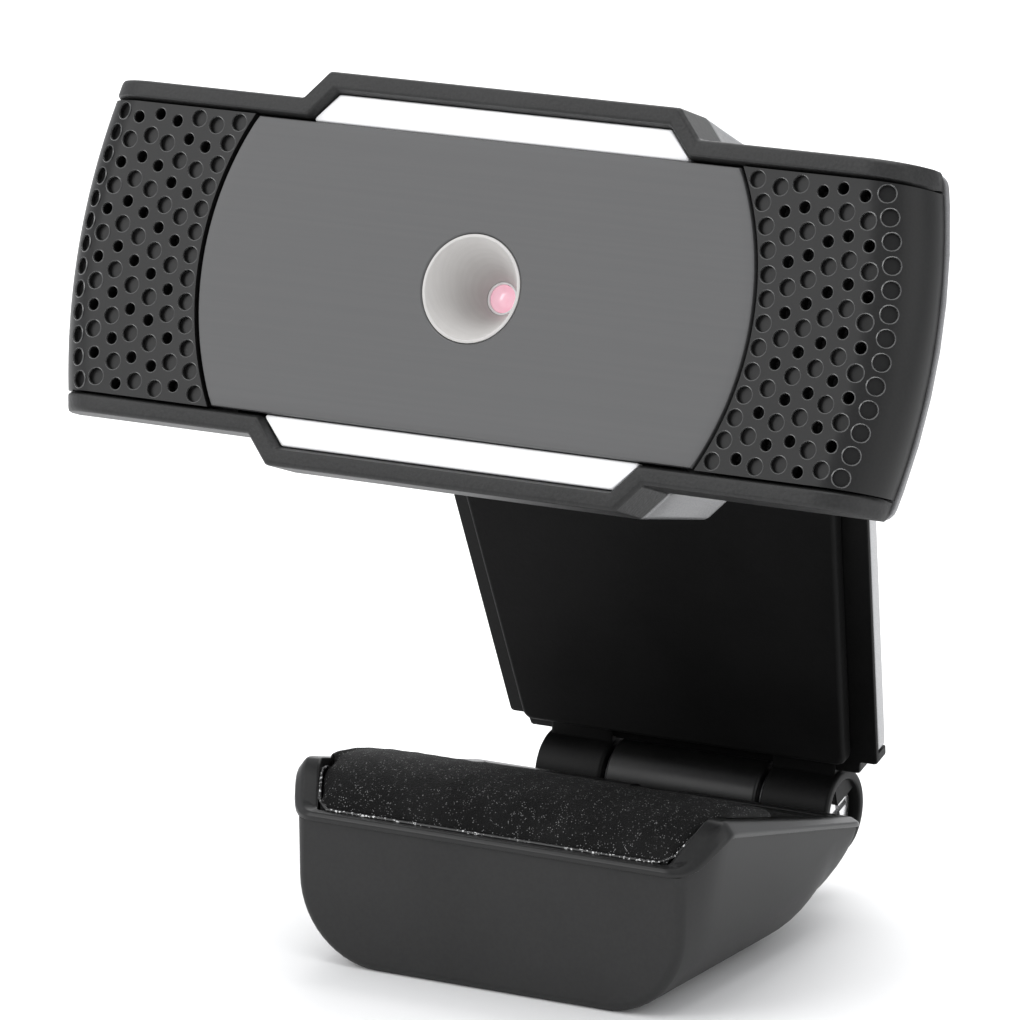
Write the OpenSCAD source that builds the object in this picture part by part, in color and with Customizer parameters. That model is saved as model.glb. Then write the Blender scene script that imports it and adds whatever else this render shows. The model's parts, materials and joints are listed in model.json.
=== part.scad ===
// Wide desktop webcam on a folding monitor clip that also stands on its own foot.
// X runs across the camera, -Y is the way it faces and +Z is up.
// The origin is the mouth of the tripod thread, in the foot's underside.

/* [Head] */
// Height of the lens above the surface
lens_z = 73.5; // [73:0.5:76]
// How far the front plate stands in front of the tripod thread
lens_y = 18; // [17.5:0.5:19]
// Upward tilt of the head when stored
head_pitch = 19.4; // [17:0.1:21]
// Radius of the round front plate
plate_r = 31; // [30.5:0.1:31.2]
// Half height of the cropped front plate
plate_h = 14.8; // [14.6:0.1:14.9]
// Half width of the head at mid height
head_x = 48.1; // [47.5:0.1:48.5]
// Half height of the frame beside the step
band_z = 17.1; // [16.9:0.1:17.3]
// Half height of the frame on the step
step_z = 20; // [19.8:0.1:20.2]
// Depth of the head at its middle
head_depth = 21; // [20.5:0.1:21.5]

/* [Wing grilles] */
// Radius of the first arc of holes
first_arc_r = 32.45; // [32.4:0.05:32.6]
// Distance from one arc of holes to the next
arc_pitch = 2.15; // [2.1:0.01:2.16]
// Radius of a large dimple
dimple_r = 0.86; // [0.6:0.01:0.88]
// Radius of a small sound hole
sound_r = 0.62; // [0.4:0.01:0.7]

/* [Clip arm] */
// Forward lean of the arm when stored
arm_lean = 17.2; // [16:0.1:18]
// Half width of the arm at the hinge axis
arm_x = 21.35; // [21:0.05:21.5]
// Length of the arm from the hinge to its top edge
arm_len = 42.4; // [42:0.1:42.6]
// Distance from the fold hinge to the tilt hinge
tilt_w = 47; // [46.8:0.1:47.4]

/* [Fold hinge] */
// Distance of the hinge axis behind the tripod thread
hinge_y = 30.75; // [30.5:0.05:31]
// Height of the hinge axis
hinge_z = 9.85; // [9.7:0.05:10]
// Outer radius of the knuckles
knuckle_r = 4.5; // [4.3:0.05:4.6]
// Half width of the hinge
hinge_x = 17.5; // [17.3:0.1:17.8]

/* [Foot] */
// Half width of the foot's lid
lid_x = 23; // [22.8:0.1:23.4]
// Distance of the foot's front face ahead of the tripod thread
foot_front = 15; // [14.8:0.1:15.2]
// Radius of the foot's lower corners
foot_corner = 9; // [8:0.5:9.5]
// Radius of the tripod thread's wall
tripod_r = 3.2; // [3.18:0.01:3.25]

/* [Hidden] */
$fn = 64;
gap = 0.1;                        // air between neighbouring pieces
run = 0.05;                       // radial clearance of a running fit
wall = 1.6;                       // moulded wall
end_arc = 69;                     // radius of the head's bowed ends
band_t = 2.05;                    // thickness of the frame's bands
step_x0 = 22.4;                   // half width at the foot of the step
step_x1 = 19.8;                   // half width at the top of the step
miter = 0.445;                    // how far the step's corners move in for each mm of inset
bend_r = 5.4;                     // radius of the front's bend at the bowed ends
seam_y = 6;                       // depth at which frame and rear housing meet
taper = 7;                        // how the rear housing's top and bottom close in
funnel_r = 5.45;                  // mouth of the lens funnel
funnel_d = 6.7;                   // depth of the lens funnel
lens_r = 1.35;
barrel_r = 2.6;
board_y = 14.2;                   // front of the circuit board
board_t = 1.2;
arcs = 7;                         // arcs of holes on one wing
swivel_y = 27.6;                  // swivel axis behind the front plate
neck_z = -4.9;                    // height of the neck in the head
neck_r = 4;
gland_z = -4;                     // height of the cable inlet in the head
pin_r = 1.5;
screw_r = 1;
tilt_v = 2.2;                     // tilt axis behind the arm's own plane
ear_x0 = 4.5;                     // inner face of a tilt ear
ear_x1 = 7.9;
mid_x = 9;                        // half width of the middle knuckle
taper_x = 0.098;                  // widening of the arm for each mm of its length
pad_t = 2;                        // thickness of the arm's pad
tray_v = 0.3;                     // front of the arm's tray behind the hinge axis
tray_t = 2.3;
cover_t = 2;
rim_t = 0.7;                      // lid lip that shows above the shell
pan_t = 1.3;                      // floor of the lid's pan
pan_x = 20.8;                     // half width of the lid's pan
pad_x = 19.6;
foot_back = 23.4;                 // rear end of the foot
rise_y = -9.3;                    // where the cheek reaches its full height
rise_z = 20.2;                    // full height of the cheek
lip_z = 16;                       // height of the foot's front top edge
back_z = 11.8;                    // height of the cheek's rear end
tall = 40;                        // taller than the foot, for cutting shapes
wide = 60;                        // wider than half the head, for cutting shapes
side_wall = 1.4;                  // the foot's side wall
shell_in = 0.7;                   // how far the shell stands in from the lid's sides
nut_r = 4.5;                      // body of the tripod nut
post_r = 2.2;                     // screw posts in the foot
post_h = 7;                       // height of the shell's posts
foot_screw_x = 9.5;
foot_screw_y = 9;
floor_d = 3.3 - pan_t;            // depth of the pan's floor below the cheek's edge
pan_y = 2.3 - foot_front;         // front end of the pan's pocket
outer_x0 = mid_x + 0.5;           // inner face of an outer knuckle
bolt_recess = 2.6;                // depth of the bolt's recess in a knuckle
bolt_head_r = 2.7;
nut_hex_r = 2.9;
tap = 0.02;                       // radial clearance of a thread
wing_t = 1.4;                     // thickness of a wing
mic_x = 36.6;                     // a microphone's distance from the lens
cable_x = 14;                     // cable inlet's distance from the lens

// ---------- placing helpers ----------

// The head's own frame: origin at the front plate's centre, +Y into the head.
module in_head() {
    translate([0, -lens_y, lens_z]) rotate([-head_pitch, 0, 0]) children();
}

// The arm's own frame: origin on the fold hinge, +Z up the arm, +Y to its back.
module in_arm() {
    translate([0, hinge_y, hinge_z]) rotate([arm_lean, 0, 0]) children();
}

// A drawing in X and Z, made solid from depth y0 to y1.
module slab(y0, y1) {
    translate([0, y1, 0]) rotate([90, 0, 0]) linear_extrude(y1 - y0) children();
}

// A drawing in Y and Z, made solid from x0 to x1.
module side_slab(x0, x1) {
    translate([x0, 0, 0]) rotate([90, 0, 90]) linear_extrude(x1 - x0) children();
}

// A round bar along X.
module bar_x(x0, x1, r) {
    translate([x0, 0, 0]) rotate([0, 90, 0]) cylinder(h = x1 - x0, r = r);
}

// A round bar along Y.
module bar_y(y0, y1, r) {
    translate([0, y1, 0]) rotate([90, 0, 0]) cylinder(h = y1 - y0, r = r);
}

module both_sides() {
    children();
    mirror([1, 0, 0]) children();
}

// A pan-head screw along +Z, its head's top at z = 0 and its shank below.
module screw(r, len) {
    translate([0, 0, -r]) cylinder(h = r, r = 1.8 * r);
    translate([0, 0, -len]) cylinder(h = len - r, r = r);
}

// ---------- outlines ----------

// The head's stepped outline with bowed ends, drawn in by t.
module head_outline(t) {
    far = head_x + 5;
    intersection() {
        polygon([
            [-far, band_z - t], [-step_x0 + miter * t, band_z - t],
            [-step_x1 + miter * t, step_z - t], [step_x1 - miter * t, step_z - t],
            [step_x0 - miter * t, band_z - t], [far, band_z - t],
            [far, t - band_z], [step_x0 - miter * t, t - band_z],
            [step_x1 - miter * t, t - step_z], [miter * t - step_x1, t - step_z],
            [miter * t - step_x0, t - band_z], [-far, t - band_z]
        ]);
        translate([end_arc - head_x, 0]) circle(r = end_arc - t, $fn = 180);
        translate([head_x - end_arc, 0]) circle(r = end_arc - t, $fn = 180);
    }
}

// Everything behind the head's front, drawn in by t: flat, and bent back along both bowed ends.
module front_solid(t) {
    intersection_for(s = [-1, 1])
        translate([s * (end_arc - head_x), 0, 0]) rotate([-90, 0, 0])
            rotate_extrude($fn = 180) front_profile(t);
}

// Half of a disc's section: a flat face and a round edge of radius bend_r, drawn in by t.
module front_profile(t) {
    translate([0, t]) square([end_arc - bend_r, seam_y - t + 1]);
    translate([0, bend_r]) square([end_arc - t, seam_y - bend_r + 1]);
    translate([end_arc - bend_r, bend_r]) circle(r = bend_r - t);
}

// The rear housing seen from above: a short straight side, then a slope to a narrower back.
module plan_rear(t) {
    side = head_x + 0.3 - t / cos(32);
    back = head_x - 8.6 - t * tan(29);
    polygon([
        [-side, seam_y - 1], [-side, seam_y + 0.6], [-back, head_depth - t],
        [back, head_depth - t], [side, seam_y + 0.6], [side, seam_y - 1]
    ]);
}

// The rear housing seen from the side: top and bottom close in towards the back.
module side_rear(t) {
    rise = (head_depth - seam_y) * tan(taper);
    polygon([
        [seam_y - 1, step_z - t], [seam_y, step_z - t],
        [head_depth - t, step_z - t - rise], [head_depth - t, rise + t - step_z],
        [seam_y, t - step_z], [seam_y - 1, t - step_z]
    ]);
}

// Smooth rise of the foot's cheek, from its front lip to its full height.
function cheek_rise(k) = [
    -foot_front + k * (rise_y + foot_front),
    lip_z + (rise_z - lip_z) * (3 * k * k - 2 * k * k * k)
];

// Points of the cheek's top edge, lowered by d.
function cheek_line(d) = concat(
    [for (k = [0 : 0.125 : 1]) cheek_rise(k) - [0, d]],
    [[foot_back, back_z - d]]
);

// The cheek's edge as a band between the depths d0 and d1 below it.
module cheek_band(d0, d1) {
    low = cheek_line(d1);
    polygon(concat(cheek_line(d0), [for (i = [len(low) - 1 : -1 : 0]) low[i]]));
}

// The foot seen from the side, up to d below the cheek's edge and drawn in by t.
module foot_side(d, t) {
    flat_y = 13;
    curve_r = 11;
    intersection() {
        polygon(concat([[foot_back, t], [-foot_front, t]], cheek_line(d)));
        union() {
            translate([t - foot_front, 0]) square([flat_y + foot_front - t, tall]);
            translate([0, curve_r]) square([foot_back - t, tall]);
            translate([foot_back - curve_r, curve_r]) circle(r = curve_r - t);
        }
    }
}

// The foot seen from the front: a deep U, drawn in by t.
module foot_front_view(t) {
    half = lid_x - shell_in;
    r = foot_corner;
    difference() {
        translate([t - half, t]) square([2 * (half - t), tall]);
        for (s = [-1, 1]) translate([s * (half - r), r]) difference() {
            translate([s * r - r, -2 * r]) square([2 * r, 2 * r]);
            circle(r = r - t);
        }
    }
}

// ---------- foot ----------

module foot_shell() {
    color("dimgray") difference() {
        intersection() {
            slab(-foot_front, foot_back) foot_front_view(0);
            side_slab(-lid_x, lid_x) foot_side(rim_t + gap, 0);
        }
        difference() {
            intersection() {
                slab(wall - foot_front, foot_back - wall) foot_front_view(side_wall);
                side_slab(-lid_x, lid_x) foot_side(-5, wall);
            }
            cylinder(h = post_h, r = nut_r + 1.7);
            for (p = foot_screw_places()) translate([p[0], p[1], 0]) cylinder(h = post_h, r = post_r);
        }
        translate([0, 0, -1]) cylinder(h = post_h + 2, r = nut_r + gap);
        for (p = foot_screw_places()) translate([p[0], p[1], -1]) {
            cylinder(h = post_h + 2, r = screw_r + gap);
            cylinder(h = 3.2, r = 2 * screw_r);
        }
        translate([-mid_x - 0.3, foot_back - 4.6, 5]) cube([2 * mid_x + 0.6, 6, 20]);
    }
}

function foot_screw_places() = [for (x = [-1, 1], y = [-1, 1]) [x * foot_screw_x, y * foot_screw_y]];

// The lid: a lip that covers the shell's edge and a pan that holds the foam.
module foot_lid() {
    back = foot_back + 0.3;
    color("black") difference() {
        union() {
            intersection() {
                translate([-lid_x, -foot_front - 0.3, 0]) cube([2 * lid_x, back + foot_front + 0.3, 30]);
                side_slab(-lid_x, lid_x) cheek_band(0, rim_t);
            }
            side_slab(-pan_x, pan_x) intersection() {
                cheek_band(rim_t, rim_t + 2 * pan_t);
                translate([wall + gap - foot_front, 0]) square([34.4, tall]);
            }
            for (p = foot_screw_places()) translate([p[0], p[1], post_h + gap]) cylinder(h = 12, r = post_r);
        }
        for (p = foot_screw_places()) translate([p[0], p[1], 6]) cylinder(h = 5.5, r = screw_r);
        side_slab(-pad_x - 0.4, pad_x + 0.4) intersection() {
            cheek_band(-5, floor_d);
            translate([pan_y, 0]) square([29, tall]);
        }
        translate([-3, 14.2, 0]) cube([6, 6, 30]);
        for (p = block_screw_places()) translate([p[0], p[1], 0]) cylinder(h = 10.8, r = screw_r);
    }
}

function block_screw_places() = [for (x = [-6, 6]) [x, 17]];

// Foam strip that grips the back of a monitor: a crowned bar, thickest near the front.
module foot_pad() {
    front = pan_y + 0.3;
    back = 13.4;
    crown = 4.3;
    color("black") side_slab(-pad_x, pad_x) intersection() {
        polygon(concat(
            [for (k = [0 : 0.1 : 1]) [
                front + k * (back - front),
                lip_z + crown * sin(180 * pow(k, 0.62)) - crown * k / 2
            ]],
            [[back, 8], [front, 8]]
        ));
        cheek_band(-10, floor_d - gap);
    }
}

module tripod_nut() {
    color("goldenrod") difference() {
        union() {
            cylinder(h = post_h + 0.2, r = nut_r);
            translate([0, 0, post_h + 0.2]) cylinder(h = 0.8, r = nut_r + 1.1);
        }
        translate([0, 0, -1]) cylinder(h = 10, r = tripod_r);
    }
}

// Moulded block inside the foot that carries the middle knuckle.
module hinge_block() {
    web_y = 15;
    color("black") difference() {
        union() {
            translate([0, hinge_y, hinge_z]) bar_x(-mid_x, mid_x, knuckle_r);
            translate([-mid_x, web_y, 5.3]) cube([2 * mid_x, hinge_y - web_y, 3.4]);
        }
        translate([0, hinge_y, hinge_z]) bar_x(-mid_x - 1, mid_x + 1, pin_r + run);
        for (p = block_screw_places()) translate([p[0], p[1], 5]) cylinder(h = 6, r = screw_r + gap);
    }
}

module foot_screws() {
    color("silver") for (p = foot_screw_places())
        translate([p[0], p[1], 1]) rotate([180, 0, 0]) screw(screw_r - 0.01, 9.5);
}

module block_screws() {
    color("silver") for (p = block_screw_places())
        translate([p[0], p[1], 4.2]) rotate([180, 0, 0]) screw(screw_r - 0.01, 6.5);
}

// ---------- clip arm ----------

// The arm's outline, widening towards the top, drawn in by t.
module arm_outline(w0, w1, t) {
    x0 = arm_x + taper_x * w0 - t;
    x1 = arm_x + taper_x * w1 - t;
    polygon([[-x0, w0], [x0, w0], [x1, w1], [-x1, w1]]);
}

// Tray with the outer knuckles, the top hook and the tilt ears.
module arm_tray() {
    color("black") in_arm() difference() {
        union() {
            slab(tray_v, tray_v + tray_t) arm_outline(4.8, arm_len, 0);
            slab(-4.5, tray_v) arm_outline(arm_len - 1.8, arm_len, 0);
            both_sides() {
                bar_x(outer_x0, hinge_x, knuckle_r);
                translate([outer_x0, tray_v, 0]) cube([hinge_x - outer_x0, tray_t, 5.3]);
                translate([ear_x0, tilt_v, tilt_w]) bar_x(0, ear_x1 - ear_x0, neck_r);
                translate([ear_x0, tray_v, arm_len - 2])
                    cube([ear_x1 - ear_x0, tray_t, tilt_w - arm_len + 2]);
            }
        }
        bar_x(-hinge_x - 1, hinge_x + 1, pin_r + gap);
        both_sides() bar_x(hinge_x - bolt_recess, hinge_x + 1, 3.3);
        translate([0, tilt_v, tilt_w]) bar_x(-ear_x1 - 1, ear_x1 + 1, pin_r + gap);
        for (p = arm_screw_places())
            translate([p[0], 0, p[1]]) bar_y(-1, 4, screw_r + gap);
    }
}

function arm_screw_places() = [for (x = [-14, 14], w = [12, 35]) [x, w]];

// Soft pad that lies on the top of a monitor.
module arm_pad() {
    color("black") in_arm() slab(tray_v - gap - pad_t, tray_v - gap) arm_outline(6.6, 40, 2.4);
}

// Silver cover over the arm's back, with pockets for its screw bosses.
module arm_cover() {
    v0 = tray_v + tray_t + gap;
    color("silver") in_arm() difference() {
        slab(v0, v0 + cover_t) difference() {
            arm_outline(6.2, arm_len, -0.3);
            translate([0, arm_len]) square([2 * ear_x1 + 1, 9], center = true);
        }
        for (p = arm_screw_places())
            translate([p[0], 0, p[1]]) bar_y(v0 - 1, v0 + 1.4, screw_r + tap);
    }
}

module arm_screws() {
    color("silver") in_arm() for (p = arm_screw_places())
        translate([p[0], 0, p[1]]) bar_y(tray_v + 0.1, tray_v + tray_t + 1.3, screw_r - tap);
}

// Bolt on which the arm folds, its head in the recess at the right end.
module hinge_bolt() {
    head_x0 = hinge_x - bolt_recess;
    color("silver") in_arm() difference() {
        union() {
            bar_x(gap - hinge_x + 0.7, head_x0 + 0.01, pin_r);
            bar_x(head_x0 + 0.01, head_x0 + 1.7, bolt_head_r);
        }
        translate([head_x0 + 1.5, 0, 0]) cube([1.4, 0.7, 4], center = true);
        translate([head_x0 + 1.5, 0, 0]) cube([1.4, 4, 0.7], center = true);
    }
}

module hinge_nut() {
    color("silver") in_arm() difference() {
        translate([-hinge_x + 0.8, 0, 0]) rotate([0, 90, 0]) cylinder(h = 1.7, r = nut_hex_r, $fn = 6);
        bar_x(-hinge_x, -hinge_x + 4, pin_r + tap);
    }
}

module hinge_washers() {
    color("silver") in_arm() both_sides() difference() {
        bar_x(mid_x + 0.1, mid_x + 0.4, 3.6);
        bar_x(mid_x, mid_x + 1, pin_r + gap);
    }
}

// ---------- neck ----------

// Short link: an upright swivel barrel at the head and a lying tilt barrel at the arm.
module neck() {
    half = 4.05;
    color("black") difference() {
        union() {
            in_head() translate([0, swivel_y, neck_z - half]) cylinder(h = 2 * half, r = neck_r);
            in_arm() translate([0, tilt_v, tilt_w]) bar_x(0.3 - ear_x0, ear_x0 - 0.3, neck_r);
            in_head() translate([-3, swivel_y, neck_z - 3]) cube([6, 11.5, 6]);
        }
        in_head() translate([0, swivel_y, neck_z - 8]) cylinder(h = 16, r = pin_r + run);
        in_arm() translate([0, tilt_v, tilt_w]) bar_x(-9, 9, pin_r + run);
    }
}

module tilt_bolt() {
    color("silver") in_arm() translate([0, tilt_v, tilt_w]) difference() {
        union() {
            bar_x(-ear_x1 - 1.7, ear_x1, pin_r);
            bar_x(ear_x1 + 0.05, ear_x1 + 1.7, bolt_head_r);
            bar_x(ear_x1 - 0.01, ear_x1 + 0.06, pin_r);
        }
        translate([ear_x1 + 1.7, 0, 0]) cube([1.4, 0.7, 4], center = true);
    }
}

module tilt_nut() {
    color("silver") in_arm() translate([0, tilt_v, tilt_w]) difference() {
        translate([-ear_x1 - 1.7, 0, 0]) rotate([0, 90, 0]) cylinder(h = 1.6, r = nut_hex_r, $fn = 6);
        bar_x(-ear_x1 - 3, -ear_x1 + 1, pin_r + tap);
    }
}

module tilt_washers() {
    color("silver") in_arm() translate([0, tilt_v, tilt_w]) both_sides() difference() {
        bar_x(ear_x0 - 0.25, ear_x0 - 0.02, 3.2);
        bar_x(ear_x0 - 1, ear_x0 + 1, pin_r + gap);
    }
}

// ---------- head ----------

function housing_screw_places() = [for (x = [-27, 27], z = [-13, 13]) [x, z]];
function board_screw_places() = [for (x = [-21, 21]) [x, 7]];

// Silver back shell: stepped like the frame, tapered to the rear, with the swivel lugs.
module rear_housing() {
    lug_t = 3.6;
    lug_z = 4.2;
    color("silver") in_head() difference() {
        union() {
            difference() {
                rear_solid(0);
                rear_solid(wall);
            }
            intersection() {
                rear_solid(0);
                union() {
                    for (p = housing_screw_places()) translate([p[0], 0, p[1]]) bar_y(7, 21, 2.3);
                    for (p = board_screw_places())
                        translate([p[0], 0, p[1]]) bar_y(board_y + board_t + gap, 21, 2);
                }
            }
            for (s = [-1, 1]) translate([0, 0, neck_z + s * (lug_z + lug_t / 2)]) {
                translate([0, swivel_y, -lug_t / 2]) cylinder(h = lug_t, r = neck_r);
                translate([-neck_r, head_depth - 1, -lug_t / 2])
                    cube([2 * neck_r, swivel_y - head_depth + 1, lug_t]);
            }
        }
        translate([0, swivel_y, neck_z - 12]) cylinder(h = 24, r = pin_r + gap);
        for (p = housing_screw_places()) translate([p[0], 0, p[1]]) {
            bar_y(3, 30, screw_r + gap);
            bar_y(14, 30, 2 * screw_r);
        }
        for (p = board_screw_places()) translate([p[0], 0, p[1]]) bar_y(14, 18.5, screw_r);
        translate([cable_x, 0, gland_z]) bar_y(15, 25, 3.1);
    }
}

// The rear housing's outer form, drawn in by t, behind the seam.
module rear_solid(t) {
    intersection() {
        slab(seam_y + gap, head_depth + 1) head_outline(t);
        linear_extrude(wide, center = true) plan_rear(t);
        side_slab(-wide, wide) side_rear(t);
    }
}

module swivel_pin() {
    color("silver") in_head() translate([0, swivel_y, neck_z]) {
        translate([0, 0, -8.6]) cylinder(h = 16.5, r = pin_r);
        translate([0, 0, 7.9]) cylinder(h = 0.9, r = 2.5);
    }
}

module swivel_washers() {
    color("silver") in_head() for (s = [-1, 1]) translate([0, swivel_y, neck_z + s * 4.125])
        difference() {
            cylinder(h = 0.1, r = 3, center = true);
            cylinder(h = 1, r = pin_r + gap, center = true);
        }
}

module swivel_clip() {
    color("silver") in_head() translate([0, swivel_y, neck_z - 8.5]) difference() {
        cylinder(h = 0.6, r = 2.6);
        translate([0, 0, -1]) cylinder(h = 3, r = pin_r + tap);
        translate([-0.8, 0, -1]) cube([1.6, 4, 3]);
    }
}

// Rubber gland that lines the cable inlet in the housing's back.
module cable_gland() {
    color("black") in_head() translate([cable_x, 0, gland_z]) difference() {
        union() {
            bar_y(18.5, head_depth + 1.4, 3);
            bar_y(head_depth + gap, head_depth + 1.4, 4);
        }
        bar_y(17, 25, 1.7);
    }
}

// Black frame: stepped bands above and below, tied by ribs behind the wings.
module front_frame() {
    color("dimgray") in_head() difference() {
        union() {
            intersection() {
                slab(-0.5, seam_y) difference() {
                    head_outline(0);
                    head_outline(band_t);
                }
                union() {
                    front_solid(0);
                    translate([-30, -0.4, -30]) cube([60, 2, 60]);
                }
                band_space();
            }
            both_sides() translate([25.5, 2.6, -15.2]) cube([3, seam_y - 2.6, 30.4]);
        }
        for (p = housing_screw_places()) translate([p[0], 0, p[1]]) bar_y(2, 8, screw_r);
    }
}

// Space above and below the wings, which is all that the bands may fill.
module band_space() {
    low = band_z - band_t;
    for (s = [0, 1]) mirror([0, 0, s]) translate([-wide, -1, low]) cube([2 * wide, 10, 10]);
}

// Angle of hole i of n on an arc of radius r whose ends lie at height z.
function hole_angle(i, n, r, z) = asin(z / r) * (1 - 2 * i / (n - 1));

// How far a point of the right wing lies past the start of the bend.
function past_bend(x, z) = max(norm([x + end_arc - head_x, z]) - end_arc + bend_r, 0);

// Depth and slope of the bent front at a distance d past the start of the bend.
function front_y(d) = bend_r - sqrt(bend_r * bend_r - d * d);
function front_turn(d) = asin(d / bend_r);

// Holes of one wing: every other hole on the middle arcs goes right through.
module wing_holes() {
    for (c = [0 : arcs - 1]) {
        r = first_arc_r + c * arc_pitch;
        n = c % 2 == 0 ? 13 : 12;
        top = c % 2 == 0 ? 13.85 : 13.35;
        small_first = c == 3 || c == 4 || c == 5 ? 0 : 1;
        for (i = [0 : n - 1]) {
            a = hole_angle(i, n, r, top);
            x = r * cos(a);
            z = r * sin(a);
            d = past_bend(x, z);
            through = c > 0 && c < arcs - 1 && i % 2 == small_first;
            translate([x, front_y(d), z]) rotate([0, -atan2(z, x + end_arc - head_x), 0])
            rotate([0, 0, front_turn(d)]) {
                if (through) bar_y(-1, 3, sound_r);
                if (!through) bar_y(-1, 0.55, dimple_r);
            }
        }
    }
}

// Perforated wing: a thin bent panel from the round plate to the head's end.
module wing() {
    edge = plate_r + 0.4;
    difference() {
        intersection() {
            slab(-0.5, seam_y) intersection() {
                head_outline(0);
                square([2 * wide, 2 * (band_z - band_t - gap)], center = true);
            }
            difference() {
                front_solid(0);
                front_solid(wing_t);
            }
            translate([24, -1, -20]) cube([30, 10, 40]);
        }
        bar_y(-2, 4, edge);
        wing_holes();
    }
}

module wing_right() { color("dimgray") in_head() wing(); }

module wing_left() { color("dimgray") in_head() mirror([1, 0, 0]) wing(); }

module face_plate() {
    color("gray") in_head() difference() {
        slab(0, 1.2) intersection() {
            circle(r = plate_r, $fn = 180);
            square([80, 2 * plate_h], center = true);
        }
        bar_y(-1, 3, funnel_r + gap);
    }
}

// Bright strip that fills the step between the plate and a band.
module trim() {
    slab(0.7, 2) difference() {
        head_outline(band_t + gap);
        translate([-wide, -wide]) square([2 * wide, wide + plate_h + gap]);
        both_sides() translate([step_x0 - 0.5, -1]) square([40, 40]);
    }
}

module trim_top() { color("white") in_head() trim(); }

module trim_bottom() { color("white") in_head() mirror([0, 0, 1]) trim(); }

// Pale cone that leads in to the lens.
module lens_funnel() {
    color("silver") in_head() rotate([90, 0, 0]) translate([0, 0, -funnel_d - 0.8])
        rotate_extrude() polygon([
            [lens_r + 0.5, 0], [lens_r + 1.6, 0], [funnel_r, funnel_d + 0.8],
            [funnel_r - 0.45, funnel_d + 0.8], [lens_r + 0.5, 0.8]
        ]);
}

// Threaded lens barrel behind the funnel.
module lens_barrel() {
    color("black") in_head() difference() {
        bar_y(7.6, 12.6, barrel_r);
        bar_y(7, 13, lens_r + 0.1);
    }
}

// Front element: a shallow dome that looks out through the funnel.
module lens_glass() {
    color("pink") in_head() {
        bar_y(6.9, 9.4, lens_r);
        intersection() {
            translate([0, 8.9, 0]) sphere(r = 2.4);
            bar_y(5, 7.2, lens_r);
        }
    }
}

module lens_retainer() {
    color("white") in_head() difference() {
        bar_y(7, 7.55, lens_r + 0.42);
        bar_y(6, 9, lens_r + 0.05);
    }
}

module lens_holder() {
    color("black") in_head() difference() {
        translate([-5, 10, -5]) cube([10, board_y - 10 - gap, 10]);
        bar_y(9, 12.7, barrel_r + 0.05);
        bar_y(9, 20, 2.2);
        translate([-3, 13, -3]) cube([6, 3, 6]);
    }
}

module infrared_filter() {
    color("pink") in_head() translate([-2.8, 13.05, -2.8]) cube([5.6, 0.3, 5.6]);
}

module image_sensor() {
    color("darkgreen") in_head() translate([-2.7, 13.4, -2.7]) cube([5.4, 0.75, 5.4]);
}

module circuit_board() {
    color("green") in_head() difference() {
        translate([-24, board_y, -9.5]) cube([48, board_t, 19]);
        for (p = board_screw_places()) translate([p[0], 0, p[1]]) bar_y(10, 20, screw_r + gap);
    }
}

module image_processor() {
    color("black") in_head() translate([8, board_y - 1 - gap, -4]) cube([7, 1, 7]);
}

module cable_header() {
    color("white") in_head() difference() {
        translate([10, board_y + board_t + gap, -2]) cube([7, 2.6, 3.4]);
        translate([10.7, board_y + board_t + 1.2, -1.4]) cube([5.6, 3, 2.2]);
    }
}

module microphones() {
    color("gold") in_head() both_sides() translate([mic_x, 0, 0]) difference() {
        translate([-2, 3.4, -1.5]) cube([4, 1.1, 3]);
        bar_y(3, 3.9, 0.4);
    }
}

module microphone_gaskets() {
    color("black") in_head() both_sides() translate([mic_x, 0, 0]) difference() {
        bar_y(1.85, 3.3, 2.2);
        bar_y(1, 4, 1.3);
    }
}

// Fine black mesh behind the sound holes of each wing.
module sound_mesh() {
    color("black") in_head() both_sides()
        translate([29.5, 1.5, -13.5]) difference() {
            cube([11.3, 0.25, 27]);
            translate([-3, -1, 13.5 - 15.5]) cube([3.4, 3, 31]);
        }
}

module housing_screws() {
    color("silver") in_head() for (p = housing_screw_places())
        translate([p[0], 15.05, p[1]]) rotate([-90, 0, 0]) difference() {
            union() {
                translate([0, 0, -1.05]) cylinder(h = 1, r = 1.8 * screw_r);
                translate([0, 0, -11]) cylinder(h = 10, r = screw_r - 0.01);
            }
            cube([0.4, 2.6, 0.8], center = true);
        }
}

module board_screws() {
    color("silver") in_head() for (p = board_screw_places())
        translate([p[0], board_y - gap, p[1]]) rotate([90, 0, 0]) {
            cylinder(h = 0.8, r = 1.8 * screw_r);
            translate([0, 0, -4]) cylinder(h = 4.01, r = screw_r - 0.01);
        }
}

foot_shell();
foot_lid();
foot_pad();
tripod_nut();
hinge_block();
foot_screws();
block_screws();
arm_tray();
arm_pad();
arm_cover();
arm_screws();
hinge_bolt();
hinge_nut();
hinge_washers();
neck();
tilt_bolt();
tilt_nut();
tilt_washers();
rear_housing();
swivel_pin();
swivel_washers();
swivel_clip();
cable_gland();
front_frame();
wing_left();
wing_right();
face_plate();
trim_top();
trim_bottom();
lens_funnel();
lens_barrel();
lens_glass();
lens_retainer();
lens_holder();
infrared_filter();
image_sensor();
circuit_board();
image_processor();
cable_header();
microphones();
microphone_gaskets();
sound_mesh();
housing_screws();
board_screws();
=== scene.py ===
# %% [markdown]
# A clip-on webcam, built around the frame that CAD packed
#
# The frame holds every working piece in its place and says which body each one moves with.
# Here each visible piece gets its moulded edges, its gentle curves and its surface, one cell at a
# time, and every piece is fastened to the body that carries it.

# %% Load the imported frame
import json
import math

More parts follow.
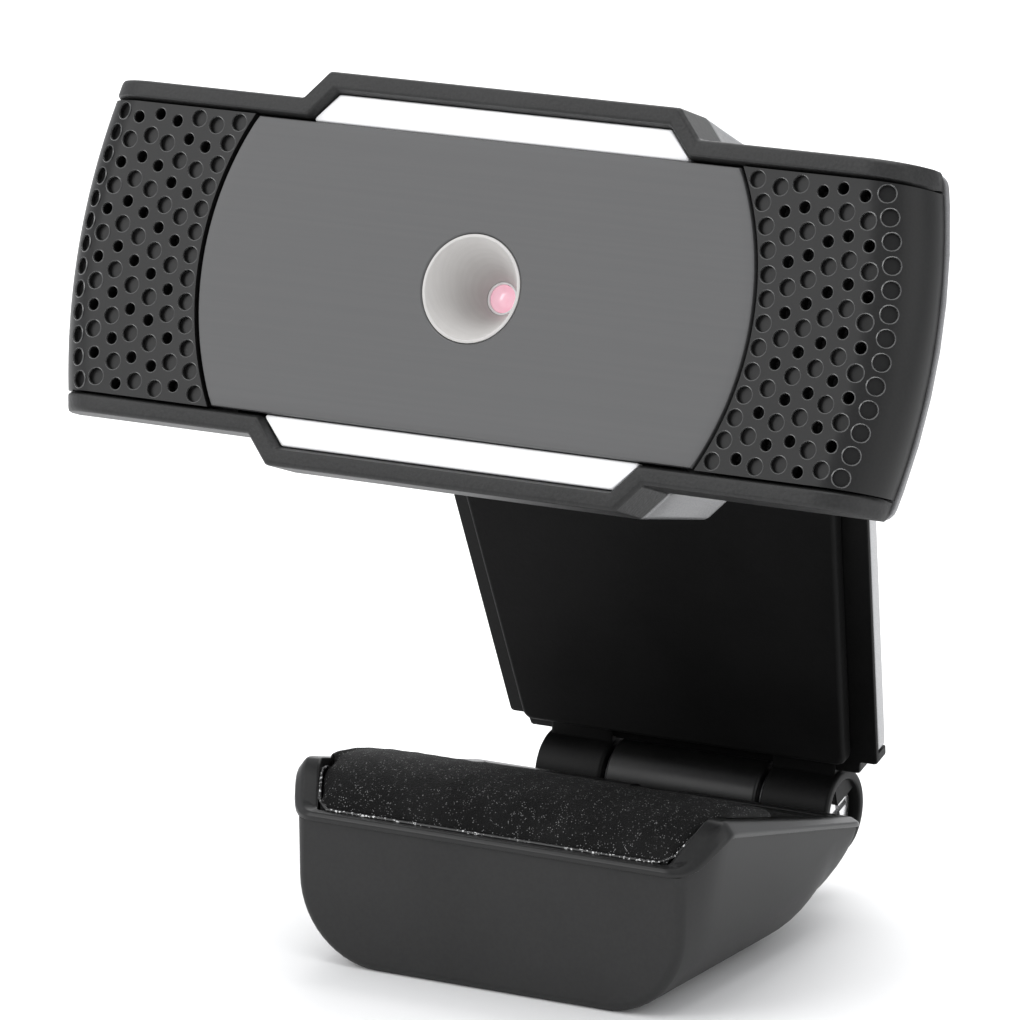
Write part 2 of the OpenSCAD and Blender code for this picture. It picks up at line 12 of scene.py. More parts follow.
import bmesh
import bpy
import numpy as np
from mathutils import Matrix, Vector

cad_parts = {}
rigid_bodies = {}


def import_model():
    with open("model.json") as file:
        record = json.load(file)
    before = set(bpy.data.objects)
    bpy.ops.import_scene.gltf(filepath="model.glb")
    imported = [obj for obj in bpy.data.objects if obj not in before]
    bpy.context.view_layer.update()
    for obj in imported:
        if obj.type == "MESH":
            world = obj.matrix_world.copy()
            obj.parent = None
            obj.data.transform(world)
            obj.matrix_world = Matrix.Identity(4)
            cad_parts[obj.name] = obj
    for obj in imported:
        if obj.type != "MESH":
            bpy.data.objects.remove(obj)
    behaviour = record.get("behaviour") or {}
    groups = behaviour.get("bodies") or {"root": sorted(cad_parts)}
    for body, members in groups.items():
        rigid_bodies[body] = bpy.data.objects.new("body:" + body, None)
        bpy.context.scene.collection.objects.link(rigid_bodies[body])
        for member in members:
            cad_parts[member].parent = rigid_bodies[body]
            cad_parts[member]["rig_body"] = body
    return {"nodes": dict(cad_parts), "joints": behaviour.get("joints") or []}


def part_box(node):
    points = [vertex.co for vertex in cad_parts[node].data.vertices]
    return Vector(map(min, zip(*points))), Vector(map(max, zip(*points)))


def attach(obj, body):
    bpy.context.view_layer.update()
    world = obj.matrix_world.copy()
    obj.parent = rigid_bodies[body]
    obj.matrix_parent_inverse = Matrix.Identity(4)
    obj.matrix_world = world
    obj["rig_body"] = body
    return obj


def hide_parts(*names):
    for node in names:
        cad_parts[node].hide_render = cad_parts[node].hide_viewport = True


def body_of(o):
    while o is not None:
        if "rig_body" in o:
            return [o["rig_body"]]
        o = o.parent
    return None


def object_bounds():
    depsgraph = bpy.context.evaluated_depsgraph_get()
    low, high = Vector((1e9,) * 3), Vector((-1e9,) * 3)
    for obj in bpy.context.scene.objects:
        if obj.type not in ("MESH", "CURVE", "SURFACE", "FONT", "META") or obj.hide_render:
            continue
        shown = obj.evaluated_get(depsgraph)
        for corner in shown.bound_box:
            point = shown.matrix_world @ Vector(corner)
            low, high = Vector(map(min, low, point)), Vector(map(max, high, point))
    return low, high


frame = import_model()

MM = 0.001  # shapes are worked out in millimetres and stored in metres
cad_box = [list(corner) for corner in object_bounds()]
print("CAD box in metres:", np.round(cad_box, 4).tolist())

# %% [markdown]
# The camera comes first, because everything is judged through it. A long lens keeps the head's
# edges nearly parallel, as in a catalogue picture, so it stands well back and looks down a little.

# %% Camera
CAMERA_AT = (0.347264, -0.628381, 0.226084)
LOOKS_AT = (0.005978, -0.020702, 0.052313)
scene = bpy.context.scene
camera = bpy.data.objects.new("camera", bpy.data.cameras.new("camera"))
scene.collection.objects.link(camera)
camera.data.lens = 257.27
camera.data.sensor_width = 36
camera.data.clip_start, camera.data.clip_end = 0.05, 20
camera.location = CAMERA_AT
ahead = Vector(LOOKS_AT) - Vector(CAMERA_AT)
camera.rotation_euler = ahead.to_track_quat("-Z", "Y").to_euler()
scene.camera = camera
scene.view_settings.view_transform = "Standard"
print(f"camera {ahead.length * 1000:.0f} mm from the object")

# %% [markdown]
# Black plastic shows its shape only through what it reflects, so the light is all broad and soft:
# a large panel over the front left, one on each side, one behind, and a pale room.

# %% Room and lights
def panel(name, place, size, watts, aim=(0, 0, 0.05)):
    """A square soft light that faces a point."""
    lamp = bpy.data.objects.new(name, bpy.data.lights.new(name, "AREA"))
    scene.collection.objects.link(lamp)
    lamp.data.shape, lamp.data.size, lamp.data.energy = "SQUARE", size, watts
    lamp.location = place
    lamp.rotation_euler = (Vector(aim) - lamp.location).to_track_quat("-Z", "Y").to_euler()
    return lamp


lamps = [
    panel("light_front_left", (-0.75, -0.85, 0.75), 0.8, 6),
    panel("light_right", (0.95, -0.15, 0.45), 0.7, 1.5),
    panel("light_top", (0.0, 0.1, 1.1), 1.0, 8),
    panel("light_back", (-0.3, 0.9, 0.6), 0.8, 5),
]
room = bpy.data.worlds.new("pale_room")
room.use_nodes = True
room.node_tree.nodes["Background"].inputs["Color"].default_value = (0.95, 0.96, 0.98, 1)
room.node_tree.nodes["Background"].inputs["Strength"].default_value = 0.8
scene.world = room
print(len(lamps), "soft lights")

# %% [markdown]
# A finish is a sum of small effects: a colour that drifts a little, a grain in the moulding, a
# gloss that is duller where hands have been. Writing that as node links by hand is slow, so a
# socket is wrapped in a class that understands + - * / and makes the Math nodes itself.

# %% Sockets that can be added and multiplied
class Value:
    """One output of a shader node. Arithmetic on it adds Math nodes."""

    def __init__(self, finish, socket):
        self.finish, self.socket = finish, socket

    def _math(self, operation, a, b=None):
        given = {0: a} if b is None else {0: a, 1: b}
        return self.finish.node("ShaderNodeMath", {"operation": operation}, given)

    def __add__(self, other): return self._math("ADD", self, other)
    def __radd__(self, other): return self._math("ADD", other, self)
    def __sub__(self, other): return self._math("SUBTRACT", self, other)
    def __rsub__(self, other): return self._math("SUBTRACT", other, self)
    def __mul__(self, other): return self._math("MULTIPLY", self, other)
    def __rmul__(self, other): return self._math("MULTIPLY", other, self)
    def __truediv__(self, other): return self._math("DIVIDE", self, other)
    def __pow__(self, other): return self._math("POWER", self, other)

    def between(self, low, high):
        """0 below low, 1 above high and a soft step from one to the other."""
        return self.finish.node(
            "ShaderNodeMapRange", {"interpolation_type": "SMOOTHSTEP"},
            {"Value": self, "From Min": low, "From Max": high})


class Finish:
    """A material under construction: its nodes, and the shader that they feed."""

    def __init__(self, name, **fixed):
        self.material = bpy.data.materials.new(name)
        self.material.use_nodes = True
        self.nodes = self.material.node_tree.nodes
        self.links = self.material.node_tree.links
        self.shader = self.nodes["Principled BSDF"]
        for socket, value in fixed.items():
            self.set(socket.replace("_", " "), value)

    def node(self, kind, settings=None, inputs=None, output=0):
        """A node of this kind: its settings first, then values or links for its sockets."""
        made = self.nodes.new(kind)
        for key, value in (settings or {}).items():
            if key == "stops":
                while len(made.color_ramp.elements) < len(value):
                    made.color_ramp.elements.new(1)
                for element, (place, colour) in zip(made.color_ramp.elements, value):
                    element.position, element.color = place, (*colour, 1)
            else:
                setattr(made, key, value)
        for key, value in (inputs or {}).items():
            self.feed(made.inputs[key], value)
        return Value(self, made.outputs[output])

    def feed(self, socket, value):
        if isinstance(value, Value):
            self.links.new(value.socket, socket)
        elif hasattr(socket.default_value, "__len__") and len(socket.default_value) == 4:
            socket.default_value = (*value[:3], 1)
        else:
            socket.default_value = value

    def set(self, socket, value):
        self.feed(self.shader.inputs[socket], value)

    def place(self, stretch=(1, 1, 1), turn=(0, 0, 0)):
        """Object coordinates in metres, stretched and turned for a pattern."""
        at = self.node("ShaderNodeTexCoord", output="Object")
        return self.node("ShaderNodeMapping", {}, {"Vector": at, "Scale": stretch, "Rotation": turn})

    def noise(self, scale, stretch=(1, 1, 1), detail=2.0, turn=(0, 0, 0)):
        """Cloudy numbers about 0.5, scale of them to the metre."""
        return self.node("ShaderNodeTexNoise", {}, {
            "Vector": self.place(stretch, turn), "Scale": scale, "Detail": detail})

    def cells(self, scale, feature="F1", stretch=(1, 1, 1)):
        """Distance to the nearest of many scattered points."""
        return self.node("ShaderNodeTexVoronoi", {"feature": feature}, {
            "Vector": self.place(stretch), "Scale": scale})

    def blend(self, factor, a, b):
        """Colour a where the factor is 0 and colour b where it is 1."""
        mix = self.nodes.new("ShaderNodeMix")
        mix.data_type = "RGBA"
        self.feed(mix.inputs[0], factor)
        self.feed(mix.inputs[6], a)
        self.feed(mix.inputs[7], b)
        return Value(self, mix.outputs[2])

    def bump(self, height, depth_mm, strength=1.0):
        """Raise the surface by a height of 0 to 1, depth_mm tall."""
        self.set("Normal", self.node("ShaderNodeBump", {}, {
            "Height": height, "Distance": depth_mm * MM, "Strength": strength}))


print("shader helpers ready")

# %% [markdown]
# Moulded plastic copies the mould. A spark-eroded mould leaves a fine pitted grain, a polished one
# leaves a smooth face with faint swirls. One function makes both, so all the black parts look as
# if they come from one maker, each with its own grain and gloss.

# %% Moulded plastics
def plastic(name, dark, light, gloss, grain_mm, depth_mm, speck=0.0, **fixed):
    """Noise at the grain's size makes the relief; it and wide smudges vary colour and roughness."""
    finish = Finish(name, **fixed)
    grain = finish.noise(1 / (grain_mm * MM), detail=3)
    pits = finish.cells(0.7 / (grain_mm * MM))
    smudge = finish.noise(70, detail=4)
    shade = (grain.between(0.3, 0.7) * 0.45 + smudge.between(0.3, 0.7) * 0.55)
    if speck:
        shade = shade + finish.noise(2.2 / (grain_mm * MM), detail=1).between(0.62, 0.75) * speck
    finish.set("Base Color", finish.blend(shade, dark, light))
    finish.set("Roughness", gloss + (smudge - 0.5) * 0.16 + (grain - 0.5) * 0.1)
    finish.bump(grain * 0.7 + pits * 0.5, depth_mm)
    return finish.material


frame_plastic = plastic("frame_plastic", (0.008,) * 3, (0.022,) * 3, 0.47, 0.3, 0.03, 0.6,
                        Specular_IOR_Level=0.34)
wing_plastic = plastic("wing_plastic", (0.006,) * 3, (0.011,) * 3, 0.38, 0.25, 0.003,
                       Specular_IOR_Level=0.3)
shell_plastic = plastic("shell_plastic", (0.024,) * 3, (0.031,) * 3, 0.46, 0.4, 0.003,
                        Specular_IOR_Level=0.16)
lid_plastic = plastic("lid_plastic", (0.006,) * 3, (0.011,) * 3, 0.32, 0.4, 0.003,
                      Specular_IOR_Level=0.36)
arm_plastic = plastic("arm_plastic", (0.003,) * 3, (0.006,) * 3, 0.45, 0.35, 0.005,
                      Specular_IOR_Level=0.14)
hinge_plastic = plastic("hinge_plastic", (0.004,) * 3, (0.008,) * 3, 0.34, 0.5, 0.003,
                        Specular_IOR_Level=0.32)
inner_plastic = plastic("inner_plastic", (0.008,) * 3, (0.014,) * 3, 0.5, 0.3, 0.006)
print("plastics:", frame_plastic.name, wing_plastic.name, shell_plastic.name, arm_plastic.name)

# %% [markdown]
# The round front plate is sheet metal rubbed in one direction. Brushing is noise that is pulled
# out a long way along the strokes and kept very fine across them.

# %% Metals
def brushed(name, dark, light, gloss, along=(1, 60, 60), fine_mm=0.5, depth_mm=0.002, metal=0.75):
    """Streaks: noise stretched along one axis, in colour, roughness and a very shallow bump."""
    finish = Finish(name, Metallic=metal)
    streaks = finish.noise(1 / (fine_mm * MM) / max(along), stretch=along, detail=6)
    haze = finish.noise(45, detail=3)
    finish.set("Base Color", finish.blend(
        (streaks.between(0.3, 0.7) * 0.6 + haze.between(0.25, 0.75) * 0.4), dark, light))
    finish.set("Roughness", gloss + (streaks - 0.5) * 0.12 + (haze - 0.5) * 0.08)
    finish.bump(streaks, depth_mm)
    return finish.material


plate_metal = brushed("plate_metal", (0.086, 0.086, 0.087), (0.097, 0.097, 0.098), 0.52, (1, 90, 90),
                      depth_mm=0.001, metal=0.3)
chrome = brushed("bolt_chrome", (0.62, 0.62, 0.63), (0.8, 0.8, 0.8), 0.16, (40, 1, 1), metal=1)
steel = brushed("screw_steel", (0.36, 0.36, 0.37), (0.5, 0.5, 0.5), 0.3, (30, 1, 1), metal=1)
brass = brushed("brass_insert", (0.5, 0.34, 0.12), (0.68, 0.5, 0.22), 0.3, (1, 1, 30), metal=1)
gold = brushed("contact_gold", (0.6, 0.42, 0.16), (0.8, 0.6, 0.3), 0.25, (20, 1, 1), metal=1)


def flake_paint(name, dark, light, gloss):
    """Silver paint: fine bright flakes in a smooth lacquer, with a faint orange peel."""
    finish = Finish(name, Metallic=0.55, Coat_Weight=0.25, Coat_Roughness=0.2)
    flakes = finish.cells(6000)
    peel = finish.noise(900, detail=2)
    haze = finish.noise(40, detail=4)
    finish.set("Base Color", finish.blend(
        (flakes.between(0.1, 0.6) * 0.5 + haze.between(0.3, 0.7) * 0.5), light, dark))
    finish.set("Roughness", gloss + (flakes - 0.4) * 0.12 + (haze - 0.5) * 0.1)
    finish.bump(peel * 0.8 + flakes * 0.2, 0.004)
    return finish.material


# The housing has the same silver paint as the arm's cover, made much darker: painted shade for the
# housing, which is seen in shade.
housing_silver = flake_paint("housing_silver", (0.19, 0.19, 0.194), (0.27, 0.27, 0.275), 0.36)
cover_silver = flake_paint("cover_silver", (0.36, 0.36, 0.365), (0.46, 0.46, 0.465), 0.4)
print("metals:", plate_metal.name, chrome.name, housing_silver.name)

# %% [markdown]
# Foam is a mass of tiny open cells: dull, black, with pale dust on it. Rubber is as dark but closed,
# so it only has a soft grain. The gaskets inside are rubber too.

# %% Soft and pale finishes
def foam_finish():
    """Pits from scattered points at two sizes; dust is the middle of scattered cells, some left out."""
    finish = Finish("foam", Specular_IOR_Level=0.12)
    pits = finish.cells(5200)
    small = finish.cells(11000)
    patches = finish.noise(160, detail=4)
    grains = 1 - finish.cells(4400).between(0.14, 0.3)
    dust = grains * finish.noise(1500, detail=3).between(0.45, 0.62)
    ground = finish.blend(patches.between(0.3, 0.7), (0.004,) * 3, (0.009,) * 3)
    finish.set("Base Color", finish.blend(dust * 0.8, ground, (0.34, 0.34, 0.34)))
    finish.set("Roughness", 0.7 + (pits - 0.4) * 0.2)
    finish.bump(pits * 0.6 + small * 0.4, 0.09)
    return finish.material


def rubber(name, dark, light, gloss):
    """Closed, matt skin: colour and gloss follow a soft cloud and a fine grain."""
    finish = Finish(name, Specular_IOR_Level=0.1)
    cloud = finish.noise(60, detail=5)
    grain = finish.noise(2600, detail=2)
    finish.set("Base Color", finish.blend(cloud.between(0.3, 0.7), dark, light))
    finish.set("Roughness", gloss + (cloud - 0.5) * 0.14 + (grain - 0.5) * 0.12)
    finish.bump(grain, 0.02)
    return finish.material


foam = foam_finish()
arm_rubber = rubber("arm_rubber", (0.003,) * 3, (0.006,) * 3, 0.6)
gland_rubber = rubber("gland_rubber", (0.01,) * 3, (0.018,) * 3, 0.5)


def satin(name, dark, light, gloss, **fixed):
    """Smooth pale moulding: faint clouds and the fine rings that a turned mould leaves."""
    finish = Finish(name, **fixed)
    cloud = finish.noise(120, detail=3)
    rings = finish.noise(700, stretch=(0.4, 4, 0.4), detail=3)
    finish.set("Base Color", finish.blend(
        cloud.between(0.3, 0.7) * 0.6 + rings.between(0.35, 0.65) * 0.4, dark, light))
    finish.set("Roughness", gloss + (cloud - 0.5) * 0.1 + (rings - 0.5) * 0.08)
    finish.bump(rings, 0.003)
    return finish.material


trim_white = satin("trim_white", (0.93, 0.93, 0.94), (0.98, 0.98, 0.98), 0.28)
funnel_plastic = satin("funnel_plastic", (0.48, 0.468, 0.455), (0.53, 0.518, 0.505), 0.5)
retainer_white = satin("retainer_white", (0.85, 0.84, 0.84), (0.93, 0.92, 0.92), 0.3)
header_white = satin("header_white", (0.68, 0.66, 0.6), (0.76, 0.74, 0.68), 0.4)


def coated_glass(name, deep, glow, **fixed):
    """Coated glass: its tint drifts in soft clouds, and the same tint feeds Emission Color, a painted
    glow wherever an Emission Strength is given.
    """
    finish = Finish(name, Coat_Weight=1.0, Coat_Roughness=0.03, **fixed)
    drift = finish.noise(500, detail=2)
    tint_and_glow = finish.blend(drift.between(0.3, 0.7), glow, deep)
    finish.set("Base Color", tint_and_glow)
    finish.set("Emission Color", tint_and_glow)
    finish.set("Roughness", 0.06 + drift * 0.08)
    return finish.material


# Only the lens is given an Emission Strength. Its coated glass glows a little, a painted glow that
# brightens it.
lens_coated = coated_glass("lens_coated", (0.96, 0.5, 0.61), (0.98, 0.58, 0.68), Emission_Strength=0.3)
filter_glass = coated_glass("filter_glass", (0.1, 0.3, 0.42), (0.5, 0.16, 0.2))
sensor_dark = coated_glass("sensor_dark", (0.02, 0.05, 0.05), (0.08, 0.03, 0.12))


def board_finish():
    """Solder mask: bright copper tracks on a regular pitch show through a green lacquer."""
    finish = Finish("board_green", Coat_Weight=0.4)
    tracks = finish.node("ShaderNodeTexBrick", {"offset": 0.37}, {
        "Vector": finish.place((260, 260, 260), (math.radians(90), 0, 0)), "Scale": 1.0,
        "Mortar Size": 0.06, "Color1": (0, 0, 0), "Color2": (0, 0, 0), "Mortar": (1, 1, 1)})
    weave = finish.noise(900, detail=3)
    ground = finish.blend(weave, (0.004, 0.05, 0.016), (0.008, 0.08, 0.026))
    finish.set("Base Color", finish.blend(tracks * 0.6, ground, (0.03, 0.2, 0.07)))
    finish.set("Roughness", 0.32 + weave * 0.16)
    finish.bump(tracks, 0.03)
    return finish.material


board_green = board_finish()
print("soft and pale finishes:", foam.name, arm_rubber.name, trim_white.name, lens_coated.name)

# %% [markdown]
# Every new shape below is a grid of points: one direction runs round a section, the other along a
# path or out from the middle. The grid becomes quads, an open end gets a cap, and a piece may be
# several such closed skins. Working on whole arrays keeps even the curved parts short to write.

# %% Skins from grids of points
def skin(grid, ring=False, closed=True, caps=True):
    """Quads between neighbouring rows and columns. closed joins the last column to the first, ring
    joins the last row to the first, and caps puts one flat face over each end row."""
    rows, cols = grid.shape[:2]
    row = np.arange(rows if ring else rows - 1)[:, None]
    col = np.arange(cols if closed else cols - 1)[None, :]
    right, below = (col + 1) % cols, (row + 1) % rows
    quads = np.stack([row * cols + col, row * cols + right, below * cols + right,
                      below * cols + col], -1).reshape(-1, 4)
    ends = [] if ring or not caps else [np.arange(cols)[::-1], np.arange(cols) + (rows - 1) * cols]
    points = grid.reshape(-1, 3)
    spot = points - points.mean(0)
    a, b, c, d = (spot[quads[:, k]] for k in range(4))
    volume = (a * (np.cross(b, c) + np.cross(c, d))).sum()
    step = 1 if volume > 0 else -1
    return points, [face[::step].tolist() for face in [*quads, *ends]]


SHARP = 32  # edges that turn more than this many degrees stay crisp


def joined(name, skins):
    """One mesh in metres from closed skins in millimetres."""
    points, faces, count = [], [], 0
    for some_points, some_faces in skins:
        points.append(some_points)
        faces += [[corner + count for corner in face] for face in some_faces]
        count += len(some_points)
    mesh = bpy.data.meshes.new(name)
    mesh.from_pydata((np.concatenate(points) * MM).tolist(), [], faces)
    return mesh


def welded(mesh, within):
    """The same mesh with points closer than a distance in metres merged."""
    work = bmesh.new()
    work.from_mesh(mesh)
    bmesh.ops.remove_doubles(work, verts=work.verts, dist=within)
    work.to_mesh(mesh)
    work.free()
    return mesh


def piece(name, skins, body, finish, replaces=(), sharp=SHARP, weighted=True):
    """One object from closed skins: smooth but for its sharp edges, with flat faces kept flat in
    shading, and fastened to its body."""
    mesh = welded(joined(name, skins), 2e-7)
    return settle(name, mesh, body, finish, replaces, sharp, weighted)


def settle(name, mesh, body, finish, replaces=(), sharp=SHARP, weighted=True):
    """Give a mesh its object, finish and body, and hide the CAD nodes it stands for."""
    mesh.shade_smooth()
    mesh.set_sharp_from_angle(angle=math.radians(sharp))
    mesh.materials.clear()
    mesh.materials.append(finish)
    made = bpy.data.objects.new(name, mesh)
    scene.collection.objects.link(made)
    if weighted:
        made.modifiers.new("flat_faces", "WEIGHTED_NORMAL").keep_sharp = True
    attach(made, body)
    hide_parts(*replaces)
    print(f"{name}: {len(mesh.vertices)} points, {len(mesh.polygons)} faces")
    return made


def both_sides(points):
    """Corners on one side of a symmetric outline, then their mirror images in reverse."""
    return np.array([*points, *[(-x, y) for x, y in points[::-1]]])


def rounded(corners, radii, steps=5):
    """An outline whose corners give way to arcs. An arc of radius r starts r / tan(half the corner)
    before the corner and its centre lies on the corner's bisector. Radius 0 keeps the corner."""
    corners, radii = np.asarray(corners, float), np.asarray(radii, float)
    back, on = np.roll(corners, 1, 0) - corners, np.roll(corners, -1, 0) - corners
    back /= np.linalg.norm(back, axis=1, keepdims=True)
    on /= np.linalg.norm(on, axis=1, keepdims=True)
    half = np.arccos(np.clip((back * on).sum(1), -1, 1)) / 2
    half = np.where(radii > 0, half, math.pi / 4)
    middle = back + on
    middle /= np.maximum(np.linalg.norm(middle, axis=1, keepdims=True), 1e-9)
    centre = corners + middle * (radii / np.sin(half))[:, None]
    start = corners + back * (radii / np.tan(half))[:, None] - centre
    end = corners + on * (radii / np.tan(half))[:, None] - centre
    turn = (math.pi - 2 * half)[:, None, None]
    s = np.linspace(0, 1, steps + 1)[None, :, None]
    arc = (np.sin((1 - s) * turn) * start[:, None] + np.sin(s * turn) * end[:, None]) / np.sin(turn)
    points = centre[:, None] + arc
    points[radii == 0, 0] = corners[radii == 0]
    keep = (radii[:, None] > 0) | (np.arange(steps + 1)[None, :] == 0)
    return points[keep]


def lathe(profile, around=64, axis="y", at=(0, 0, 0)):
    """Rows of circles: each profile point gives a distance along the axis and a radius."""
    profile = np.asarray(profile, float)
    angle = np.linspace(0, 2 * math.pi, around, endpoint=False)
    along = np.broadcast_to(profile[:, :1], (len(profile), around))
    one, two = profile[:, 1:] * np.cos(angle), profile[:, 1:] * np.sin(angle)
    order = {"x": (along, one, two), "y": (one, along, two), "z": (one, two, along)}[axis]
    return np.stack(order, -1) + np.asarray(at, float)


def slab(outline, levels, build):
    """Rows of one outline. A level is how far the outline is drawn in and how far along it lies, and
    build turns the flat row and that distance into points."""
    return np.stack([build(outline(inset), np.full(len(outline(inset)), along))
                     for inset, along in levels])


def edge_levels(low, high, r, steps=3):
    """Levels of a slab from low to high with a quarter round of radius r at both edges."""
    q = np.linspace(0, math.pi / 2, steps + 1)
    first = np.stack([r * (1 - np.sin(q)), low + r * (1 - np.cos(q))], -1)
    return np.concatenate([first, (first * (1, -1) + (0, low + high))[::-1]])


print("grid helpers ready")

# %% [markdown]
# The head leans back on its neck and the arm leans forward on its hinge. Each is easier to shape
# lying straight, so each has its own frame: across, deep and up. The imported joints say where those
# frames stand.

# %% The head's and the arm's own frames
joint = {j["name"]: j for j in frame["joints"]}
PLATE_T = 1.2
_, lean_y, lean_z = joint["head_swivel"]["axis"]
HEAD_UP, HEAD_DEEP = np.array([0, lean_y, lean_z]), np.array([0, lean_z, -lean_y])
plate_low, plate_high = (np.array(corner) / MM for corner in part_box("face_plate"))
HEAD_AT = (plate_low + plate_high) / 2 - HEAD_DEEP * PLATE_T / 2
FOLD_AT = np.array(joint["arm_fold"]["pos_m"]) / MM
TILT_AT = np.array(joint["head_tilt"]["pos_m"]) / MM
TILT_V, TILT_W = 2.2, 47.0
reach = TILT_AT - FOLD_AT
lean = math.atan2(-reach[1], reach[2]) + math.atan2(TILT_V, TILT_W)
ARM_UP = np.array([0, -math.sin(lean), math.cos(lean)])
ARM_DEEP = np.array([0, math.cos(lean), math.sin(lean)])


def in_head(local):
    """Across, deep and up in the head, moved to where the head is stored."""
    return HEAD_AT + np.asarray(local, float) @ np.array([(1, 0, 0), HEAD_DEEP, HEAD_UP])


def in_arm(local):
    """Across, deep and up along the arm, moved to where the arm is stored."""
    return FOLD_AT + np.asarray(local, float) @ np.array([(1, 0, 0), ARM_DEEP, ARM_UP])


def upright(flat, along):
    """A drawing of width and height, set at a depth."""
    return np.stack([flat[:, 0], along, flat[:, 1]], -1)


def sideways(flat, along):
    """A drawing of depth and height, set at a distance across."""
    return np.stack([along, flat[:, 0], flat[:, 1]], -1)


def lying(flat, along):
    """A drawing of width and depth, set at a height."""
    return np.stack([flat[:, 0], flat[:, 1], along], -1)


print("head leans", round(math.degrees(math.asin(lean_y)), 2))
print("arm leans", round(math.degrees(lean), 2))

# %% [markdown]
# The black frame is two bands that step out round the middle and bend back with the head's ends.
# It would be moulded as one ring. A band is a rounded section carried along the stepped line, and
# each point of the section rides on its own inset copy of that line, which makes true mitres.

# %% Head outline and the front's bend
PLATE_R, PLATE_H = 31.0, 14.8
END_R, END_X = 69.0, 48.1
BAND_Z, STEP_Z, BAND_T = 17.1, 20.0, 2.05
STEP_X0, STEP_X1, MITRE = 22.4, 19.8, 0.445
BEND_R, SEAM_Y = 5.4, 6.0


def end_x(z):
    """Half width at height z: a large circle through the widest point."""
    return np.sqrt(END_R ** 2 - np.asarray(z, float) ** 2) - (END_R - END_X)


def past_bend(x, z):
    """How far a point lies past the start of the bend, measured out from the end arc's centre."""
    out = np.hypot(np.abs(x) + END_R - END_X, z)
    return np.clip(out - END_R + BEND_R, 0, BEND_R - 0.02)


def front_y(x, z):
    """Depth of the front: flat, then a quarter circle that follows the bowed end."""
    return BEND_R - np.sqrt(BEND_R ** 2 - past_bend(x, z) ** 2)


def band_line(inset):
    """The band's line from left end to right, drawn in by inset, with rounded step corners."""
    half, step = BAND_Z - inset, STEP_Z - inset
    stations = np.linspace(39.6, 45.6, 12)
    right = np.array([(STEP_X1 - MITRE * inset, step), (STEP_X0 - MITRE * inset, half),
                      *[(x, half) for x in stations], (float(end_x(half)), half)])
    radii = np.array([0.6, 0.6] + [0] * 13)
    left = right[::-1] * (-1, 1)
    return rounded(np.concatenate([left, right]), np.concatenate([radii[::-1], radii]))


def band():
    """A rounded section of inset and depth, carried along the line. Its depth is squeezed between
    the bent front and the seam, and its two ends are drawn in a little."""
    proud = 0.3
    section = rounded([(0, -proud), (1.7, -proud), (BAND_T, 0.8), (BAND_T, SEAM_Y), (0, SEAM_Y)],
                      [0.5, 0.28, 0.1, 0.1, 0.3], 4)
    rows = []
    for inset, depth in section:
        line = band_line(inset)
        room = (SEAM_Y - front_y(line[:, 0], line[:, 1])) / SEAM_Y
        rows.append(upright(line, SEAM_Y - (SEAM_Y - depth) * room))
    grid = np.stack(rows, 1)
    for end, inner in ((0, 1), (-1, -2)):
        middle = grid[end].mean(0)
        grid[inner] = grid[end] - (grid[end] - grid[inner]) * 0.5
        grid[end] = middle + (grid[end] - middle) * 0.8
    return grid


def mirrored(points, signs):
    """The same grid turned over across one or more axes; skin() sorts out which side is out."""
    return points * np.asarray(signs, float)


rib = rounded([(-1.5, -15.2), (1.5, -15.2), (1.5, 15.2), (-1.5, 15.2)], [0.3] * 4)
ribs = [skin(in_head(slab(lambda inset: rib + (x, 0), [(0, 2.7), (0, SEAM_Y)], upright)))
        for x in (-27, 27)]
piece("front_frame_bands", [skin(in_head(band())), skin(in_head(mirrored(band(), (1, 1, -1)))), *ribs],
      "head", frame_plastic, ["front_frame"])

# %% [markdown]
# The plate is a disc with its top and bottom cut off. In polar form its edge is the nearer of the
# circle and the two cuts, so one formula serves the rim, its small bevel and the hole for the lens.

# %% Front plate
FUNNEL_R, FUNNEL_D = 5.45, 6.7


def plate():
    """Rows of rim and hole circles from the back round the front: radius = min(circle, cut / sin)."""
    cut_at = math.asin(PLATE_H / PLATE_R)
    quarter = np.concatenate([np.linspace(0, cut_at, 17), np.linspace(cut_at, math.pi / 2, 14)[1:]])
    half = np.concatenate([quarter, math.pi - quarter[::-1][1:]])
    angle = np.concatenate([half, half[1:-1] + math.pi])

    def rim(inset):
        cut = (PLATE_H - inset) / np.maximum(np.abs(np.sin(angle)), 1e-6)
        return np.minimum(PLATE_R - inset, cut)

    hole = np.full(len(angle), FUNNEL_R + 0.08)
    levels = [(rim(0), PLATE_T), (rim(0), 0.25), (rim(0.08), 0.08), (rim(0.25), 0.0), (rim(1.2), 0.0),
              (hole + 1.2, 0.0), (hole + 0.15, 0.0), (hole, 0.12), (hole, PLATE_T)]
    return np.stack([np.stack([r * np.cos(angle), np.full(len(angle), y), r * np.sin(angle)], -1)
                     for r, y in levels])


piece("front_plate", [skin(in_head(plate()), ring=True)], "head", plate_metal,
      ["face_plate"])

# %% [markdown]
# Two bright strips close the steps above and below the plate. They lie a little deeper than the
# bands, so each is a thin slab with a soft front edge, cut to the shape of the step.

# %% Step strips
def strip_outline(inset):
    """The step's inside: a low trapezium, drawn in by inset."""
    low, high = PLATE_H + 0.1 + inset, STEP_Z - BAND_T - 0.1 - inset
    return rounded(both_sides([(-21.4 + inset, low), (-18.8 + inset, high)]), [0.2, 0.5, 0.5, 0.2], 4)


strip = slab(strip_outline, edge_levels(0.75, 2.0, 0.2), upright)
for name, sign in (("top", 1), ("bottom", -1)):
    piece(f"step_strip_{name}", [skin(in_head(mirrored(strip, (1, 1, sign))))], "head",
          trim_white, [f"trim_{name}"])

# %% [markdown]
# The lens sits at the bottom of a pale cone, held by a thin ring. These are turned shapes, so each
# is a profile spun about the axis, and the profile's small rounds catch the light round the mouth.

